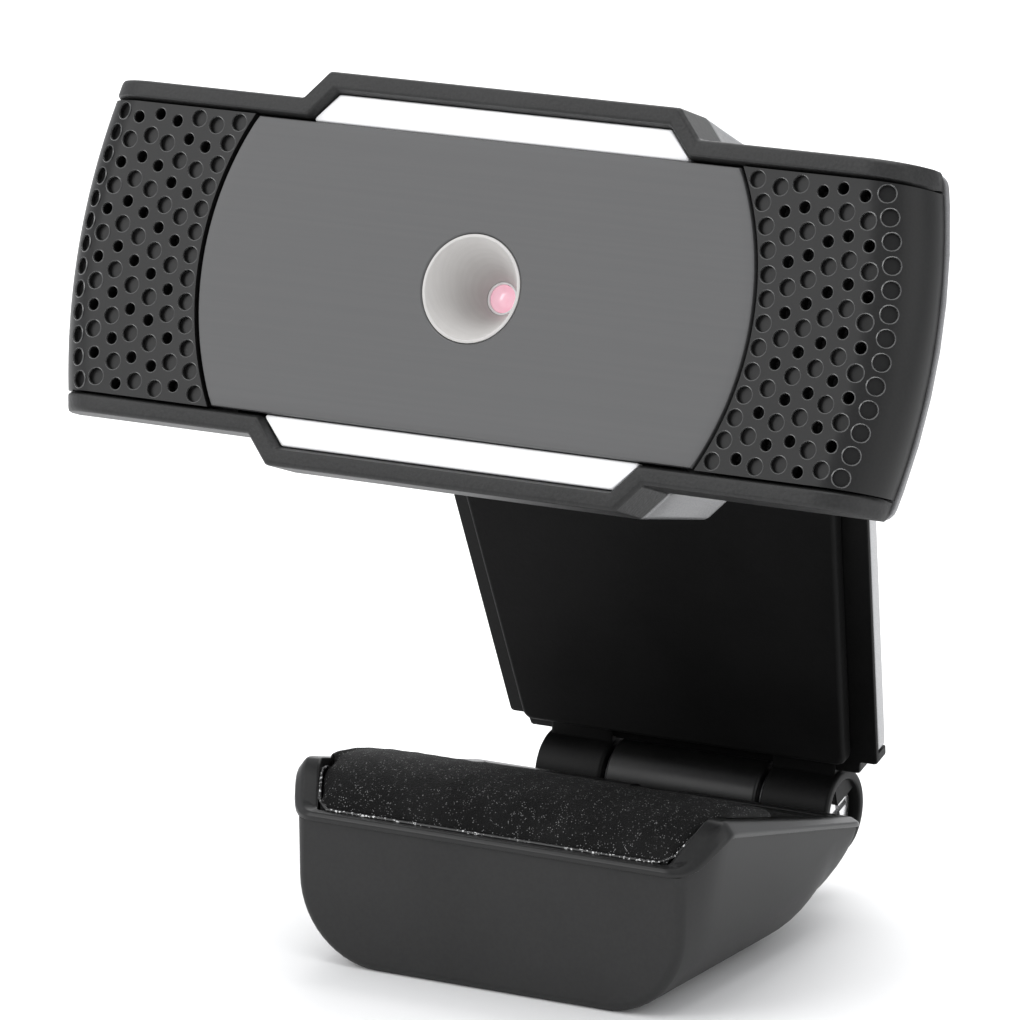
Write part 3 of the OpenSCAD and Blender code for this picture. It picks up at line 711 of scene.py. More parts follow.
# %% Lens funnel, ring and glass
funnel_profile = rounded(
    [(0.06, FUNNEL_R), (0.0, FUNNEL_R - 0.3), (FUNNEL_D, 1.7), (FUNNEL_D + 0.7, 1.7),
     (FUNNEL_D + 0.7, 3.0), (0.5, FUNNEL_R)], [0.05, 0.12, 0.2, 0.05, 0.3, 0.2], 4)
piece("lens_cone", [skin(in_head(lathe(funnel_profile, 96)), ring=True)], "head",
      funnel_plastic, ["lens_funnel"])
ring_profile = rounded([(FUNNEL_D + 0.05, 1.69), (FUNNEL_D + 0.05, 1.45), (FUNNEL_D + 0.6, 1.41),
                        (FUNNEL_D + 0.6, 1.69)], [0.1, 0.1, 0.05, 0.05], 4)
piece("lens_ring", [skin(in_head(lathe(ring_profile, 64)), ring=True)], "head",
      retainer_white, ["lens_retainer"])
dome = np.linspace(0.02, 1, 12)
LENS_R = 1.4
glass_profile = np.concatenate([
    np.stack([FUNNEL_D + 0.3 - 0.42 * (1 - dome ** 2), LENS_R * dome], -1),
    [(9.3, LENS_R), (9.4, LENS_R - 0.1), (9.4, 0.02)]])
piece("lens_dome", [skin(in_head(lathe(glass_profile, 64)))], "head", lens_coated,
      ["lens_glass"], sharp=50)

# %% [markdown]
# Seven arcs of holes follow the plate's edge on each wing. The wings come from CAD with every hole
# cut; a copy is merged so that its bend shades smoothly. A moulded hole has a tiny raised lip,
# and one small ring, copied to every hole in a single array, adds it. The rings are coloured
# lighter than the wing, a painted highlight on the hole rims.

# %% Wings
def merged(node, name, finish, sharp=28):
    """A copy of a CAD node with its loose triangles joined, so that curves shade as curves."""
    mesh = frame["nodes"][node].data.copy()
    mesh.name = name
    welded(mesh, 1e-6)
    if "custom_normal" in mesh.attributes:
        mesh.attributes.remove(mesh.attributes["custom_normal"])
    body = body_of(frame["nodes"][node])[0]
    return settle(name, mesh, body, finish, [node], sharp)


for side in ("left", "right"):
    merged(f"wing_{side}", f"grille_{side}", wing_plastic)


ARCS, FIRST_ARC_R, ARC_PITCH = 7, 32.45, 2.15
DIMPLE_R, SOUND_R = 0.86, 0.62


def hole_places():
    """Centre, radius and size of every hole of the right wing: arcs of 13 and 12 by turns, evenly
    spaced by angle between fixed heights; every other hole of the middle arcs is a small one."""
    places = []
    for arc in range(ARCS):
        r = FIRST_ARC_R + ARC_PITCH * arc
        count, top = (13, 13.85) if arc % 2 == 0 else (12, 13.35)
        i = np.arange(count)
        angle = math.asin(top / r) * (1 - 2 * i / (count - 1))
        first_small = 0 if arc in (3, 4, 5) else 1
        small = (0 < arc < ARCS - 1) & (i % 2 == first_small)
        size = np.where(small, SOUND_R, DIMPLE_R)
        places.append(np.stack([r * np.cos(angle), r * np.sin(angle), size], -1))
    return np.concatenate(places)


def hole_lips(sign):
    """A three-sided ring at every hole: centre + out * cos + round * sin + normal * height, where
    out and round are the directions away from the end arc's centre and about it."""
    x, z, r = (column[:, None, None] for column in hole_places().T)
    swing = np.arctan2(z, x + END_R - END_X)
    turn = np.arcsin(past_bend(x, z) / BEND_R)
    angle = np.linspace(0, 2 * math.pi, 16, endpoint=False)[None, None, :]
    spread = np.array([-0.03, 0.02, 0.13])[None, :, None]
    height = np.array([-0.12, 0.045, -0.03])[None, :, None]
    out, about = (r + spread) * np.cos(angle), (r + spread) * np.sin(angle)
    flat = out * np.cos(turn) + height * np.sin(turn)
    px = x + flat * np.cos(swing) - about * np.sin(swing)
    pz = z + flat * np.sin(swing) + about * np.cos(swing)
    py = front_y(x, z) + out * np.sin(turn) - height * np.cos(turn)
    return np.stack([sign * px, py, pz], -1)


# The lips' colour is several times lighter than the wing's black: a painted highlight along every hole
# rim.
lip_painted_highlight = plastic("wing_lips_highlight", (0.03,) * 3, (0.06,) * 3, 0.24, 0.25, 0.002, Specular_IOR_Level=0.8)
for side, sign in (("left", -1), ("right", 1)):
    piece(f"hole_lips_{side}", [skin(in_head(ring), ring=True) for ring in hole_lips(sign)], "head",
          lip_painted_highlight, sharp=60, weighted=False)

# %% [markdown]
# The silver back shell repeats the stepped outline and draws in towards the rear. It is a cup: one
# grid runs from the inside of its floor, over the seam edge and back along the outside. Screw
# wells and the cable's hole are then cut with a boolean, as a drill would.

# %% Rear housing
HEAD_DEPTH, WALL, NECK_Z, NECK_R, SWIVEL_Y = 21.0, 1.6, -4.9, 4.0, 27.6
SCREW_PLACES = [(x, z) for x in (-27, 27) for z in (-13, 13)]
GLAND_X, GLAND_Z = 14.0, -4.0


def housing_loop(inset, depth):
    """The stepped outline at one depth. Step and sides sink with depth, and the bowed ends stand out
    a little at the seam, then slope in at about 32 degrees."""
    back = depth - SEAM_Y
    near = min(back / 4, 1)
    half = BAND_Z - inset - 0.035 * back - 1.2 * near ** 2 * (3 - 2 * near)
    step = STEP_Z - inset - 0.12 * back
    slope = 0.618 * max(back - 0.6, 0) - 0.35
    up = np.linspace(0.82, -0.82, 7) * half
    pull = slope + inset
    right = [(STEP_X1 - MITRE * inset, step), (STEP_X0 - MITRE * inset, half),
             (float(end_x(half)) - pull, half), *[(float(end_x(z)) - pull, z) for z in up],
             (float(end_x(half)) - pull, -half), (STEP_X0 - MITRE * inset, -half),
             (STEP_X1 - MITRE * inset, -step)]
    radii = [1.0, 1.0, 1.6, *[0] * 7, 1.6, 1.0, 1.0]
    corners = np.array(right + [(-x, z) for x, z in right[::-1]])
    flat = rounded(corners, radii + radii[::-1], 4)
    return upright(flat, np.full(len(flat), depth))


def cup():
    """Inside floor, inside wall, seam edge, outside wall, then a round of radius 1.5 to the back."""
    q = np.linspace(0, math.pi / 2, 6)
    outer = [(0.25, 6.1), (0.07, 6.2), (0, 6.4), (0, 6.6), (0, 10), (0, 15), (0, HEAD_DEPTH - 1.5)]
    outer += [(1.5 * (1 - math.cos(a)), HEAD_DEPTH - 1.5 * (1 - math.sin(a))) for a in q[1:]]
    inner = [(WALL + 1.2, HEAD_DEPTH - WALL), (WALL, HEAD_DEPTH - WALL - 1.0), (WALL, 15), (WALL, 10),
             (WALL, 6.1)]
    return np.stack([housing_loop(inset, depth) for inset, depth in inner + outer])


def baked(made):
    """Fix a piece's modifiers into its mesh."""
    mesh = bpy.data.meshes.new_from_object(made.evaluated_get(bpy.context.evaluated_depsgraph_get()))
    made.modifiers.clear()
    made.data = mesh


def cut(made, cutters):
    """Take the cutters out of a piece for good: the boolean's result becomes its mesh."""
    tool = bpy.data.objects.new("cutter", joined("cutter", cutters))
    scene.collection.objects.link(tool)
    made.modifiers.clear()
    boolean = made.modifiers.new("cut", "BOOLEAN")
    boolean.object, boolean.operation = tool, "DIFFERENCE"
    boolean.solver, boolean.use_self = "EXACT", True
    baked(made)
    made.data.set_sharp_from_angle(angle=math.radians(SHARP))
    made.modifiers.new("flat_faces", "WEIGHTED_NORMAL").keep_sharp = True
    bpy.data.objects.remove(tool)
    print(f"{made.name}: cut, now {len(made.data.polygons)} faces")


def lug(centre_z):
    """A rounded tongue behind the housing that carries one end of the swivel pin."""
    def outline(inset):
        r = NECK_R - inset
        left = [(-r, HEAD_DEPTH - 1), (-r, SWIVEL_Y + r)]
        return rounded(both_sides(left), [0, r - 0.01, r - 0.01, 0], 14)
    return slab(outline, edge_levels(centre_z - 1.8, centre_z + 1.8, 0.4), lying)


well = rounded([(20.9, 2.0), (20.9, 2.4), (13.0, 2.4), (13.0, 1.2), (14.0, 1.2), (14.0, 2.0)],
               [0.05] * 6, 2)
housing = piece(
    "rear_shell",
    [skin(in_head(cup()))], "head", housing_silver, ["rear_housing"])
drills = [skin(in_head(lathe([(17, 2.05), (24, 2.05)], 32, at=(x, 0, z)))) for x, z in SCREW_PLACES]
drills.append(skin(in_head(lathe([(17, 3.05), (24, 3.05)], 40, at=(GLAND_X, 0, GLAND_Z)))))
cut(housing, drills)
piece("swivel_lugs", [skin(in_head(lug(NECK_Z + s * 6.0))) for s in (-1, 1)], "head",
      housing_silver)
piece("screw_wells", [skin(in_head(lathe(well, 32, at=(x, 0, z))), ring=True) for x, z in SCREW_PLACES],
      "head", housing_silver)
gland = rounded([(22.4, 1.7), (22.4, 4.0), (21.05, 4.0), (21.05, 3.0), (18.5, 3.0), (18.5, 1.7)],
                [0.3, 0.5, 0.1, 0.05, 0.2, 0.1], 4)
piece("cable_sleeve", [skin(in_head(lathe(gland, 48, at=(GLAND_X, 0, GLAND_Z))), ring=True)], "head",
      gland_rubber, ["cable_gland"])

# %% [markdown]
# The arm is a black tray. Its front carries a rubber pad for the top of a screen, and a silver cover
# wraps round its sides and back. All are slabs of one tapering outline, with different insets and
# rounds, so the seams between them stay even all the way round.

# %% Arm tray, pad and cover
ARM_X, ARM_TAPER, ARM_LEN, KNUCKLE_R, HINGE_X, MID_X = 21.35, 0.098, 42.4, 4.5, 17.5, 9.0
TRAY_V, TRAY_T = 0.3, 2.3
TRAY_LOW, TRAY_FOOT = 6.2, 4.8  # heights of the notch and of the bottom edge
NOTCH_X = 20.0


def arm_half(w):
    return ARM_X + ARM_TAPER * w


def notched(top, inset, top_r):
    """The arm's taper from its notched lower corners up to a height, drawn in by inset."""
    low, foot, high = TRAY_LOW + inset, TRAY_FOOT + inset, top - inset
    right = [(arm_half(high) - inset, high), (arm_half(low) - inset, low), (NOTCH_X - inset, low),
             (NOTCH_X - 0.3 - inset, foot)]
    radii = [top_r, 0.4, 0.3, 0.3]
    return rounded(both_sides(right), radii + radii[::-1], 4)


def tray_outline(inset):
    """The tray seen from the front: wider at the top, with a small notch at each lower corner."""
    return notched(ARM_LEN, inset, 0.8)


def pad_outline(inset):
    """The rubber pad: the tray's taper, well inside its edge."""
    low, top, edge = 6.8 + inset, 40.2 - inset, 2.85 + inset
    wide, narrow = arm_half(top) - edge, arm_half(low) - edge
    return rounded(both_sides([(wide, top), (narrow, low)]), [1.0] * 4, 5)


def sill_outline(inset):
    """The tray's bottom bar, as deep as the whole arm, with the same notched corners."""
    return notched(7.5, inset, 0.1)


def cover_outline(inset):
    """The cover is as wide as the tray, and gives way to the tilt ears at its top."""
    low, top, notch, ear = 7.6 + inset, ARM_LEN - inset, 37.9 - inset, 8.4 + inset
    right = [(ear, notch), (ear, top), (arm_half(top) - inset, top), (arm_half(low) - inset, low)]
    radii = [0.8, 0.5, 1.0, 0.5]
    return rounded(both_sides(right), radii + radii[::-1], 5)


def hook_outline(inset):
    """The hook seen from the front: a bar across the tray's top edge."""
    low, top = ARM_LEN - 1.8 + inset, ARM_LEN - inset
    wide, narrow = arm_half(top) - inset, arm_half(low) - inset
    return rounded(both_sides([(wide, top), (narrow, low)]), [0.5] * 4, 4)


def ear_outline(inset):
    """A tongue seen from the side, with a round end about the tilt bolt."""
    r = NECK_R - inset
    root = ARM_LEN - 2
    front = [(TRAY_V + inset, root), (TILT_V - r, TILT_W - 3.5), (TILT_V - r, TILT_W + r)]
    back = [(TILT_V + r, TILT_W + r), (TILT_V + r, TILT_W - 2.5), (TRAY_V + TRAY_T - inset, root)]
    return rounded(front + back, [0, 1.0, r - 0.01, r - 0.01, 1.0, 0], 10)


tray_levels = [(0.22, TRAY_V), (0.06, TRAY_V + 0.06), (0, TRAY_V + 0.22), (0, TRAY_V + 0.42),
               (0.95, TRAY_V + 0.42), (0.95, TRAY_V + TRAY_T)]
cover_levels = [(0.98, 2.68), (0.98, 0.78), (0.15, 0.78), (0, 0.9), (0, 2.2), (0.25, 2.8), (0.75, 3.6),
                (1.3, 4.2), (2.0, 4.55), (2.8, 4.7)]
VALANCE_X = 9.4  # it hangs between the two knuckles and closes the gap above the middle one
valance = np.array([(0.45, 6.0), (0.45, 4.68), (1.5, 4.44), (2.5, 3.98), (2.5, 6.0)])
tray_slabs = [slab(tray_outline, tray_levels, upright),
              slab(sill_outline, edge_levels(TRAY_V + 0.3, TRAY_V + TRAY_T, 0.25), upright),
              slab(lambda inset: valance, [(0, -VALANCE_X), (0, VALANCE_X)], sideways),
              slab(hook_outline, edge_levels(-4.5, TRAY_V + 1, 0.45), upright)]
tray_shells = [skin(in_arm(made)) for made in tray_slabs]
knuckle = rounded([(MID_X + 0.5, 1.65), (MID_X + 0.5, KNUCKLE_R), (HINGE_X, KNUCKLE_R), (HINGE_X, 3.45),
                   (HINGE_X - 2.6, 3.3), (HINGE_X - 2.6, 1.65)], [0.1, 0.45, 0.35, 0.25, 0.2, 0.1], 4)
WEB_R = 0.3
web_low, web_high = MID_X + 0.6, HINGE_X - 0.5


def web_outline(inset):
    """The knuckle's root: a wedge that runs from the barrel into the tray."""
    tray_side = [(TRAY_V + inset, 6.0), (TRAY_V + TRAY_T - inset, 6.0)]
    return rounded([*tray_side, (KNUCKLE_R - 0.4 - inset, 1.0), (-0.5, 1.0), (-0.5, 3.6)],
                   [0, 0, 0.5, 0, 0], 4)


for side in (-1, 1):
    barrel = lathe(knuckle, 72, "x") * (side, 1, 1)
    tray_shells.append(skin(in_arm(barrel), ring=True))
    web = slab(web_outline, edge_levels(web_low, web_high, WEB_R), sideways)
    ear = slab(ear_outline, edge_levels(4.5, 7.9, 0.3), sideways)
    tray_shells += [skin(in_arm(web * (side, 1, 1))), skin(in_arm(ear * (side, 1, 1)))]
piece("arm_tray_shell", tray_shells, "arm", arm_plastic, ["arm_tray"])
pad = slab(pad_outline, edge_levels(-1.8, TRAY_V - 0.05, 0.55), upright)
piece("arm_front_pad", [skin(in_arm(pad))], "arm", arm_rubber, ["arm_pad"])
piece("arm_back_cover", [skin(in_arm(slab(cover_outline, cover_levels, upright)))],
      "arm", cover_silver, ["arm_cover"])

# %% [markdown]
# The neck is two short barrels at right angles: the upright one turns between the head's lugs, the
# lying one tilts between the arm's ears. A short bar with rounded edges joins them.

# %% Neck
def barrel_profile(half, r, bore=1.56):
    """Section of a barrel: its wall from the bore to the outside, over its whole length."""
    return rounded(both_sides([(-half, bore), (-half, r)]), [0.15, 0.5, 0.5, 0.15], 4)


def neck_bar(inset):
    """The bar between the two barrels, seen from below."""
    near, far, half = SWIVEL_Y + 1.7, SWIVEL_Y + 11, 3 - inset
    return rounded(both_sides([(-half, near), (-half, far)]), [0.3, 1.5, 1.5, 0.3], 4)


bar = slab(neck_bar, edge_levels(NECK_Z - 3, NECK_Z + 3, 0.8), lying)
upright_barrel = lathe(barrel_profile(4.05, NECK_R), 64, "z", (0, SWIVEL_Y, NECK_Z))
lying_barrel = lathe(barrel_profile(4.2, NECK_R), 64, "x", (0, TILT_V, TILT_W))
piece("neck_link", [skin(in_head(upright_barrel), ring=True), skin(in_arm(lying_barrel), ring=True),
                    skin(in_head(bar))], "neck", hinge_plastic, ["neck"])

# %% [markdown]
# The foot is a deep tub: a flat front with very round lower corners, straight sides, and a rear
# that curves up under the hinge. Seen from above it would be one wall of even thickness, so it is
# drawn as an open surface, one rounded U for each depth, and Solidify gives it its wall.

# %% Foot shell
FOOT_FRONT, FOOT_BACK, LID_X, CORNER_R = 15.0, 23.4, 23.0, 9.0
LIP_Z, RISE_Y, RISE_Z, BACK_Z = 16.0, -9.3, 20.2, 11.8
FLARE = 2.2      # how far the cheeks lean out
KEEL_R = 11.0    # curve from the underside up to the hinge
TUB_WALL = 1.4
FOOT_SCREWS = [(x, y) for x in (-9.5, 9.5) for y in (-9, 9)]


def cheek_z(y):
    """Height of the foot's top edge: a smooth rise from the front lip, then a straight slope."""
    k = np.clip((np.asarray(y, float) + FOOT_FRONT) / (RISE_Y + FOOT_FRONT), 0, 1)
    rise = LIP_Z + (RISE_Z - LIP_Z) * (3 * k ** 2 - 2 * k ** 3)
    down = np.clip((y - RISE_Y) / (FOOT_BACK - RISE_Y), 0, 1.02) * (RISE_Z - BACK_Z)
    return rise - down


def flare_x(y):
    """How far the cheeks lean out: most at the top of the rise, less towards both ends."""
    k = np.clip((np.asarray(y, float) + FOOT_FRONT + 0.3) / (RISE_Y + FOOT_FRONT + 0.3), 0, 1)
    fade = 1 - 0.9 * np.clip((y - RISE_Y) / (FOOT_BACK - RISE_Y), 0, 1)
    return FLARE * k ** 2 * (3 - 2 * k) * fade


def keel_z(y):
    """Height of the underside: flat, then a circle that rises to the rear end."""
    over = np.clip(y - FOOT_BACK + KEEL_R, 0, KEEL_R - 0.05)
    return KEEL_R - np.sqrt(KEEL_R ** 2 - over ** 2)


def tub_row(inset, y):
    """One U: down the left side, round the corner, along the keel and up the right side."""
    half, low, top = LID_X - 0.7 - inset, float(keel_z(y)) + inset, float(cheek_z(y)) - 0.8
    r = min(CORNER_R - inset, 0.82 * (top - low))
    sides = np.linspace(top, low + r, 9)[:-1]
    left = [(-half, z) for z in sides]
    right = [(half, z) for z in sides[::-1]]
    flat = rounded([*left, (-half, low), (half, low), *right], [0] * 8 + [r, r] + [0] * 8, 14)
    lift = np.clip((flat[:, 1] - 2) / (top - 2), 0, 1)
    flat[:, 0] += np.sign(flat[:, 0]) * float(flare_x(y)) * lift ** 1.5
    return upright(flat, np.full(len(flat), y))


def tub():
    """Rows from the round front edge to the rear end, closer together where the shape curves."""
    q = np.linspace(0, math.pi / 2, 5)
    front = [(1.0 * (1 - math.sin(a)), -FOOT_FRONT + 1.0 * (1 - math.cos(a))) for a in q]
    along = [*np.linspace(-13, 12, 22), *np.linspace(13, 21, 9), 21.8, 22.4, 22.8, 23.1, 23.3]
    return np.stack([tub_row(inset, y) for inset, y in front] + [tub_row(0, y) for y in along])


tub_skin = skin(tub(), closed=False, caps=True)
shell_piece = piece("foot_tub", [tub_skin], "foot", shell_plastic, ["foot_shell"],
                    weighted=False)
wall = shell_piece.modifiers.new("wall", "SOLIDIFY")
wall.thickness, wall.offset, wall.use_even_offset = TUB_WALL * MM, -1, False
baked(shell_piece)
drills = [skin(lathe([(-1, 2.05), (4, 2.05)], 32, "z", (x, y, 0))) for x, y in FOOT_SCREWS]
drills.append(skin(lathe([(-1, 4.62), (4, 4.62)], 48, "z")))
cut(shell_piece, drills)
boss = [skin(lathe([(1.0, 2.05), (1.0, 2.5), (7, 2.5), (7, 1.15), (3.2, 1.15), (3.2, 2.05)], 32, "z",
                   (x, y, 0)), ring=True) for x, y in FOOT_SCREWS]
socket = lathe([(0.6, 4.62), (0.6, 6.2), (7.0, 6.2), (7.0, 4.62)], 48, "z")
piece("foot_bosses", boss + [skin(socket, ring=True)], "foot", inner_plastic)

# %% [markdown]
# The lid is a rim that follows the cheeks and a floor that the foam is glued to. The rim is a
# rounded section carried round a rectangle; every point then rises with the cheek line, so the
# rim stays level across and flows up and down along the foot.

# %% Foot lid
def rim_loop(inset):
    """The lid from above: a rectangle with rounded corners and stations along its sides."""
    half, front, back = LID_X - inset, -FOOT_FRONT - 0.3 + inset, FOOT_BACK + 0.3 - inset
    sides = np.concatenate([np.linspace(-12, -9, 7), np.linspace(-8, 21.5, 17)])
    right = [(half, front), *[(half, y) for y in sides], (half, back)]
    radii = [max(2.6 - inset, 0.5), *[0] * 24, max(1.5 - inset, 0.4)]
    corners = np.array(right + [(-x, y) for x, y in right[::-1]])
    return rounded(corners, radii + radii[::-1], 6)


SHOULDER = 1.1  # how far the outer edge of a cheek's top falls away


def rim():
    """Section of inset and height above the cheek line, from the skirt over the top to the inside.
    The outer edge falls by SHOULDER * (1 - inset / 2) squared where the cheek flares most."""
    section = rounded([(0, -0.75), (0, -0.3), (0.9, 0.12), (2.9, 0),
                       (3.1, -2.6), (1.4, -2.6), (1.4, -0.75)],
                      [0.12, 0.35, 1.2, 0.4, 0.1, 0.1, 0.05], 5)
    rows = []
    for inset, height in section:
        flat = rim_loop(inset)
        ahead = flat[:, 1] + FOOT_FRONT + 0.3
        flat[:, 1] -= np.where(ahead < 3.2, 0.62 * np.minimum(ahead, inset), 0)
        flat[:, 0] += np.sign(flat[:, 0]) * flare_x(flat[:, 1])
        flare = flare_x(flat[:, 1])
        shoulder = SHOULDER * max(1 - inset / 2, 0) ** 2 * flare / FLARE
        rows.append(lying(flat, cheek_z(flat[:, 1]) + height - shoulder))
    return np.stack(rows)


def floor_rows():
    """A tray floor that follows the cheek line, and behind the foam a deck almost at its level."""
    bend = [15.6, 15.8, 16.0, 16.2]
    y = np.concatenate([np.linspace(-12.9, 15.4, 26), bend, np.linspace(17, 21.6, 6)])
    deck = np.clip((y - bend[0]) / 0.5, 0, 1)
    top = cheek_z(y) - 2.1 + 1.9 * deck ** 2 * (3 - 2 * deck)
    half = 20.3
    ring = np.array([(-half, 0), (-half, -1.2), (half, -1.2), (half, 0)])
    x = np.broadcast_to(ring[:, 0], (len(y), 4))
    return np.stack([x, np.broadcast_to(y[:, None], x.shape), top[:, None] + ring[:, 1]], -1)


lid = piece("foot_lid_rim", [skin(rim(), ring=True), skin(floor_rows())], "foot",
            lid_plastic, ["foot_lid"])
notch = slab(lambda inset: np.array([(-2.9, 20.4), (2.9, 20.4), (2.9, 25), (-2.9, 25)]),
             [(0, 8), (0, 20)], lying)
cut(lid, [skin(notch)])

# %% [markdown]
# The foam strip is die-cut from soft sheet and pressed over the hump, so its top is crowned, its
# ends are pinched down between the cheeks, and it widens over their tops. It is a grid of sections
# along X: each section is a floor and a crown, and the crown's height fades out at the two ends.

# %% Foam pad
PAD_FRONT, PAD_BACK = -14.1, 13.4


def pad_crown(y):
    """Height of the foam's back: a lopsided sine, steep at the front."""
    k = np.clip((y - PAD_FRONT) / (PAD_BACK - PAD_FRONT), 0, 1)
    return 16.0 + 4.9 * np.sin(np.pi * k ** 0.62) - 2.2 * k


def pad_half(y):
    """Half width: close to the cheeks' insides at the front, and over their tops along the crest."""
    over = np.clip((y + 9.0) / 3.0, 0, 1)
    back = np.clip((y - 3) / 7, 0, 1)
    spread = 1.4 * over ** 2 * (3 - 2 * over) - 3.0 * back ** 2 * (3 - 2 * back)
    return LID_X - 3.2 + flare_x(y) + spread


def foam_pad():
    """s runs across and t along the section. The end falls off as (1 - |s|^14), which leaves a
    flat middle and a tight round end; a gentle ripple keeps the cut edge from looking machined."""
    s = np.linspace(-1, 1, 97)
    t = np.linspace(0, 1, 61)
    ease = 0.5 - 0.5 * np.cos(np.pi * t)
    y = PAD_FRONT + (PAD_BACK - PAD_FRONT) * ease
    s = np.sign(s) * (1 - (1 - np.abs(s)) ** 1.6)
    across, along = s[:, None], y[None, :]
    half = pad_half(along)
    ripple = 0.05 * np.sin(across * 41 + along * 0.9) * np.sin(along * 1.3 + across * 7)
    sunk = np.clip((along - PAD_FRONT - 0.6) / 1.2, 0, 1) * 2.0
    floor = np.minimum(cheek_z(along) - sunk, pad_crown(along) - 0.6) + 0 * across
    crown = pad_crown(along) + 0 * across
    on_rim = np.abs(across) * half > LID_X - 2.95 + flare_x(along)
    floor = np.where(on_rim, np.minimum(cheek_z(along) + 0.04, crown - 0.3), floor)
    thick = np.maximum(crown - floor, 0.05)
    end = (1 - np.abs(across) ** 26) ** 0.5
    lip = np.clip((along - PAD_FRONT) / 1.1, 0, 1)
    tail = np.clip((PAD_BACK - along) / 1.6, 0, 1)
    edge = np.sqrt(np.clip(1 - (1 - lip) ** 2, 0, 1)) * np.sqrt(np.clip(1 - (1 - tail) ** 2, 0, 1))
    top = floor + (thick + ripple) * np.clip(end * (0.35 + 0.65 * edge), 0.02, 1)
    x = across * half
    upper = np.stack([x, along + 0 * x, top], -1)
    lower = np.stack([x, along + 0 * x, floor], -1)
    return np.concatenate([upper, lower[:, ::-1]], 1)


pad = piece("foot_foam_pad", [skin(foam_pad())], "foot", foam, ["foot_pad"], sharp=70)

# %% [markdown]
# The foam is held by a thin bead of glue that shows along its front edge with small broken glints. A
# bead is a small circle carried along the edge. The glints are painted highlights: pale patches in its
# colour, where it is also a little glossier.

# %% Glue bead
def bead(radius=0.16):
    """A tube along the foam's front edge and up the inside of both cheeks."""
    climb = np.linspace(-8.5, PAD_FRONT + 0.9, 12)
    front = np.linspace(-1, 1, 60) * (pad_half(PAD_FRONT) - 0.9)
    x = np.concatenate([-pad_half(climb) - 0.12, front, pad_half(climb[::-1]) + 0.12])
    y = np.concatenate([climb, np.full(60, PAD_FRONT - 0.1), climb[::-1]])
    path = np.stack([x, y, cheek_z(y) + 0.05 - 1.1 * np.clip((y - PAD_FRONT) / 5, 0, 1)], -1)
    along = np.gradient(path, axis=0)
    along /= np.linalg.norm(along, axis=1, keepdims=True)
    side = np.cross(along, (0, 0, 1))
    side /= np.linalg.norm(side, axis=1, keepdims=True)
    rise = np.cross(side, along)
    angle = np.linspace(0, 2 * math.pi, 8, endpoint=False)[None, :, None]
    return path[:, None] + radius * (side[:, None] * np.cos(angle) + rise[:, None] * np.sin(angle))


def glue_finish():
    """Black glue with painted glints: a fine noise, cut high, paints pale highlight patches into its
    colour and smooths it.
    """
    finish = Finish("glue", Specular_IOR_Level=0.6)
    fine, wide = finish.noise(3400, detail=1), finish.noise(240, detail=2)
    # Painted highlight: the glints are pale colour on the bead, not light that it reflects.
    painted_glint = fine.between(0.56, 0.64) * wide.between(0.4, 0.55)
    finish.set("Base Color", finish.blend(painted_glint, (0.01,) * 3, (0.75,) * 3))
    finish.set("Roughness", 0.3 - painted_glint * 0.1)
    finish.bump(painted_glint, 0.03)
    return finish.material


piece("foam_glue_bead", [skin(bead())], "foot", glue_finish(), sharp=60)

# %% [markdown]
# The middle knuckle belongs to the foot. It stands on a short block that slips under the lid and is
# screwed to it from below, so the hinge can be swapped when it wears.

# %% Middle knuckle
middle = rounded(both_sides([(-MID_X, 1.6), (-MID_X, KNUCKLE_R)]), [0.15, 0.4, 0.4, 0.15], 4)


def block_outline(inset):
    """The block under the middle knuckle, seen from above."""
    left = [(-MID_X + inset, 15), (-MID_X + inset, FOLD_AT[1] - 1)]
    return rounded(both_sides(left), [0.5] * 4, 4)


piece("hinge_middle", [skin(lathe(middle, 72, "x", FOLD_AT), ring=True),
                       skin(slab(block_outline, edge_levels(5.3, 8.7, 0.4), lying))],
      "foot", hinge_plastic, ["hinge_block"])

# %% [markdown]
# Everything that CAD already made to its final shape stays as it is: bolts, nuts, screws, the
# circuit board and its parts. Each gets a finish from the list above. The inner ones are hidden
# while the camera is whole, but they are part of the object and are finished like the rest.

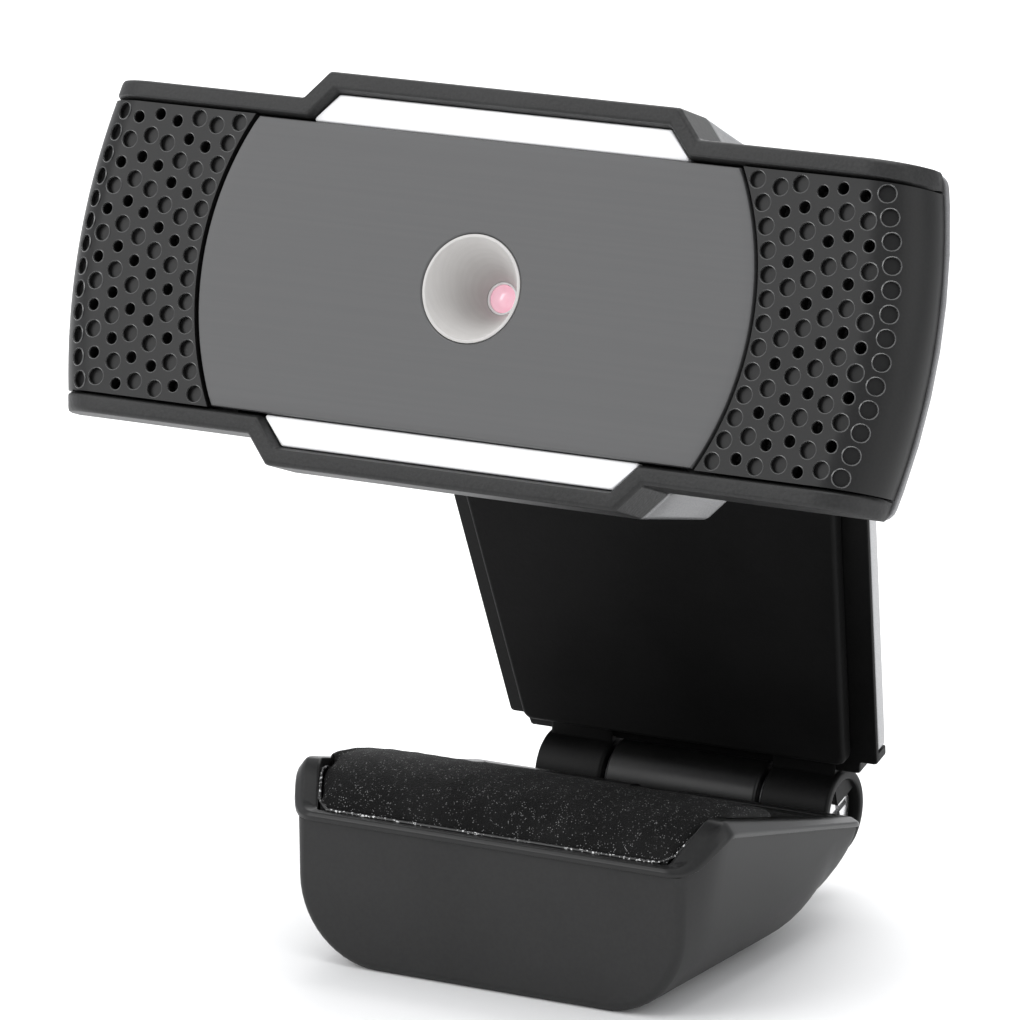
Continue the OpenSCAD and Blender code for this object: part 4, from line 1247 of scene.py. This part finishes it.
# %% Finishes for the CAD pieces that stay
def mesh_cloth():
    """Woven screen: two sine waves at right angles make the threads."""
    finish = Finish("mesh_fabric")
    threads = finish.node("ShaderNodeTexWave", {"bands_direction": "X"}, {
        "Vector": finish.place(), "Scale": 700.0, "Distortion": 0.4})
    other = finish.node("ShaderNodeTexWave", {"bands_direction": "Z"}, {
        "Vector": finish.place(), "Scale": 700.0, "Distortion": 0.4})
    weave = threads * other
    finish.set("Base Color", finish.blend(weave, (0.002,) * 3, (0.01,) * 3))
    finish.set("Roughness", 0.6 + weave * 0.2)
    finish.bump(weave, 0.05)
    return finish.material


mesh_fabric = mesh_cloth()
kept = {
    chrome: ["hinge_bolt", "tilt_bolt", "swivel_pin"],
    steel: ["foot_screws", "block_screws", "arm_screws", "housing_screws", "board_screws", "hinge_nut",
            "hinge_washers", "tilt_nut", "tilt_washers", "swivel_washers", "swivel_clip"],
    brass: ["tripod_nut"],
    inner_plastic: ["lens_barrel", "lens_holder", "image_processor"],
    filter_glass: ["infrared_filter"],
    sensor_dark: ["image_sensor"],
    board_green: ["circuit_board"],
    header_white: ["cable_header"],
    gold: ["microphones"],
    gland_rubber: ["microphone_gaskets"],
    mesh_fabric: ["sound_mesh"],
}
for finish_material, names in kept.items():
    for node_name in names:
        slots = frame["nodes"][node_name].data.materials
        slots.clear()
        slots.append(finish_material)
left_plain = [n for n, o in frame["nodes"].items()
              if not o.hide_render and not any(n in names for names in kept.values())]
print("CAD nodes without a finish:", left_plain)

# %% [markdown]
# A plain pale floor, far wider than the view, catches a soft shadow and nothing else.

# %% Floor
def floor_plane(size):
    """A square at the height of the object's lowest point."""
    low = cad_box[0][2]
    corners = [(-size, -size, low), (size, -size, low), (size, size, low), (-size, size, low)]
    mesh = bpy.data.meshes.new("floor")
    mesh.from_pydata(corners, [], [(0, 1, 2, 3)])
    paint = Finish("floor_paint", Specular_IOR_Level=0.1)
    cloud = paint.noise(3, detail=2)
    paint.set("Base Color", paint.blend(cloud, (0.9, 0.9, 0.9), (0.94, 0.94, 0.94)))
    paint.set("Roughness", 0.8 + cloud * 0.1)
    mesh.materials.append(paint.material)
    made = bpy.data.objects.new("floor", mesh)
    scene.collection.objects.link(made)
    return made


floor_plane(4)
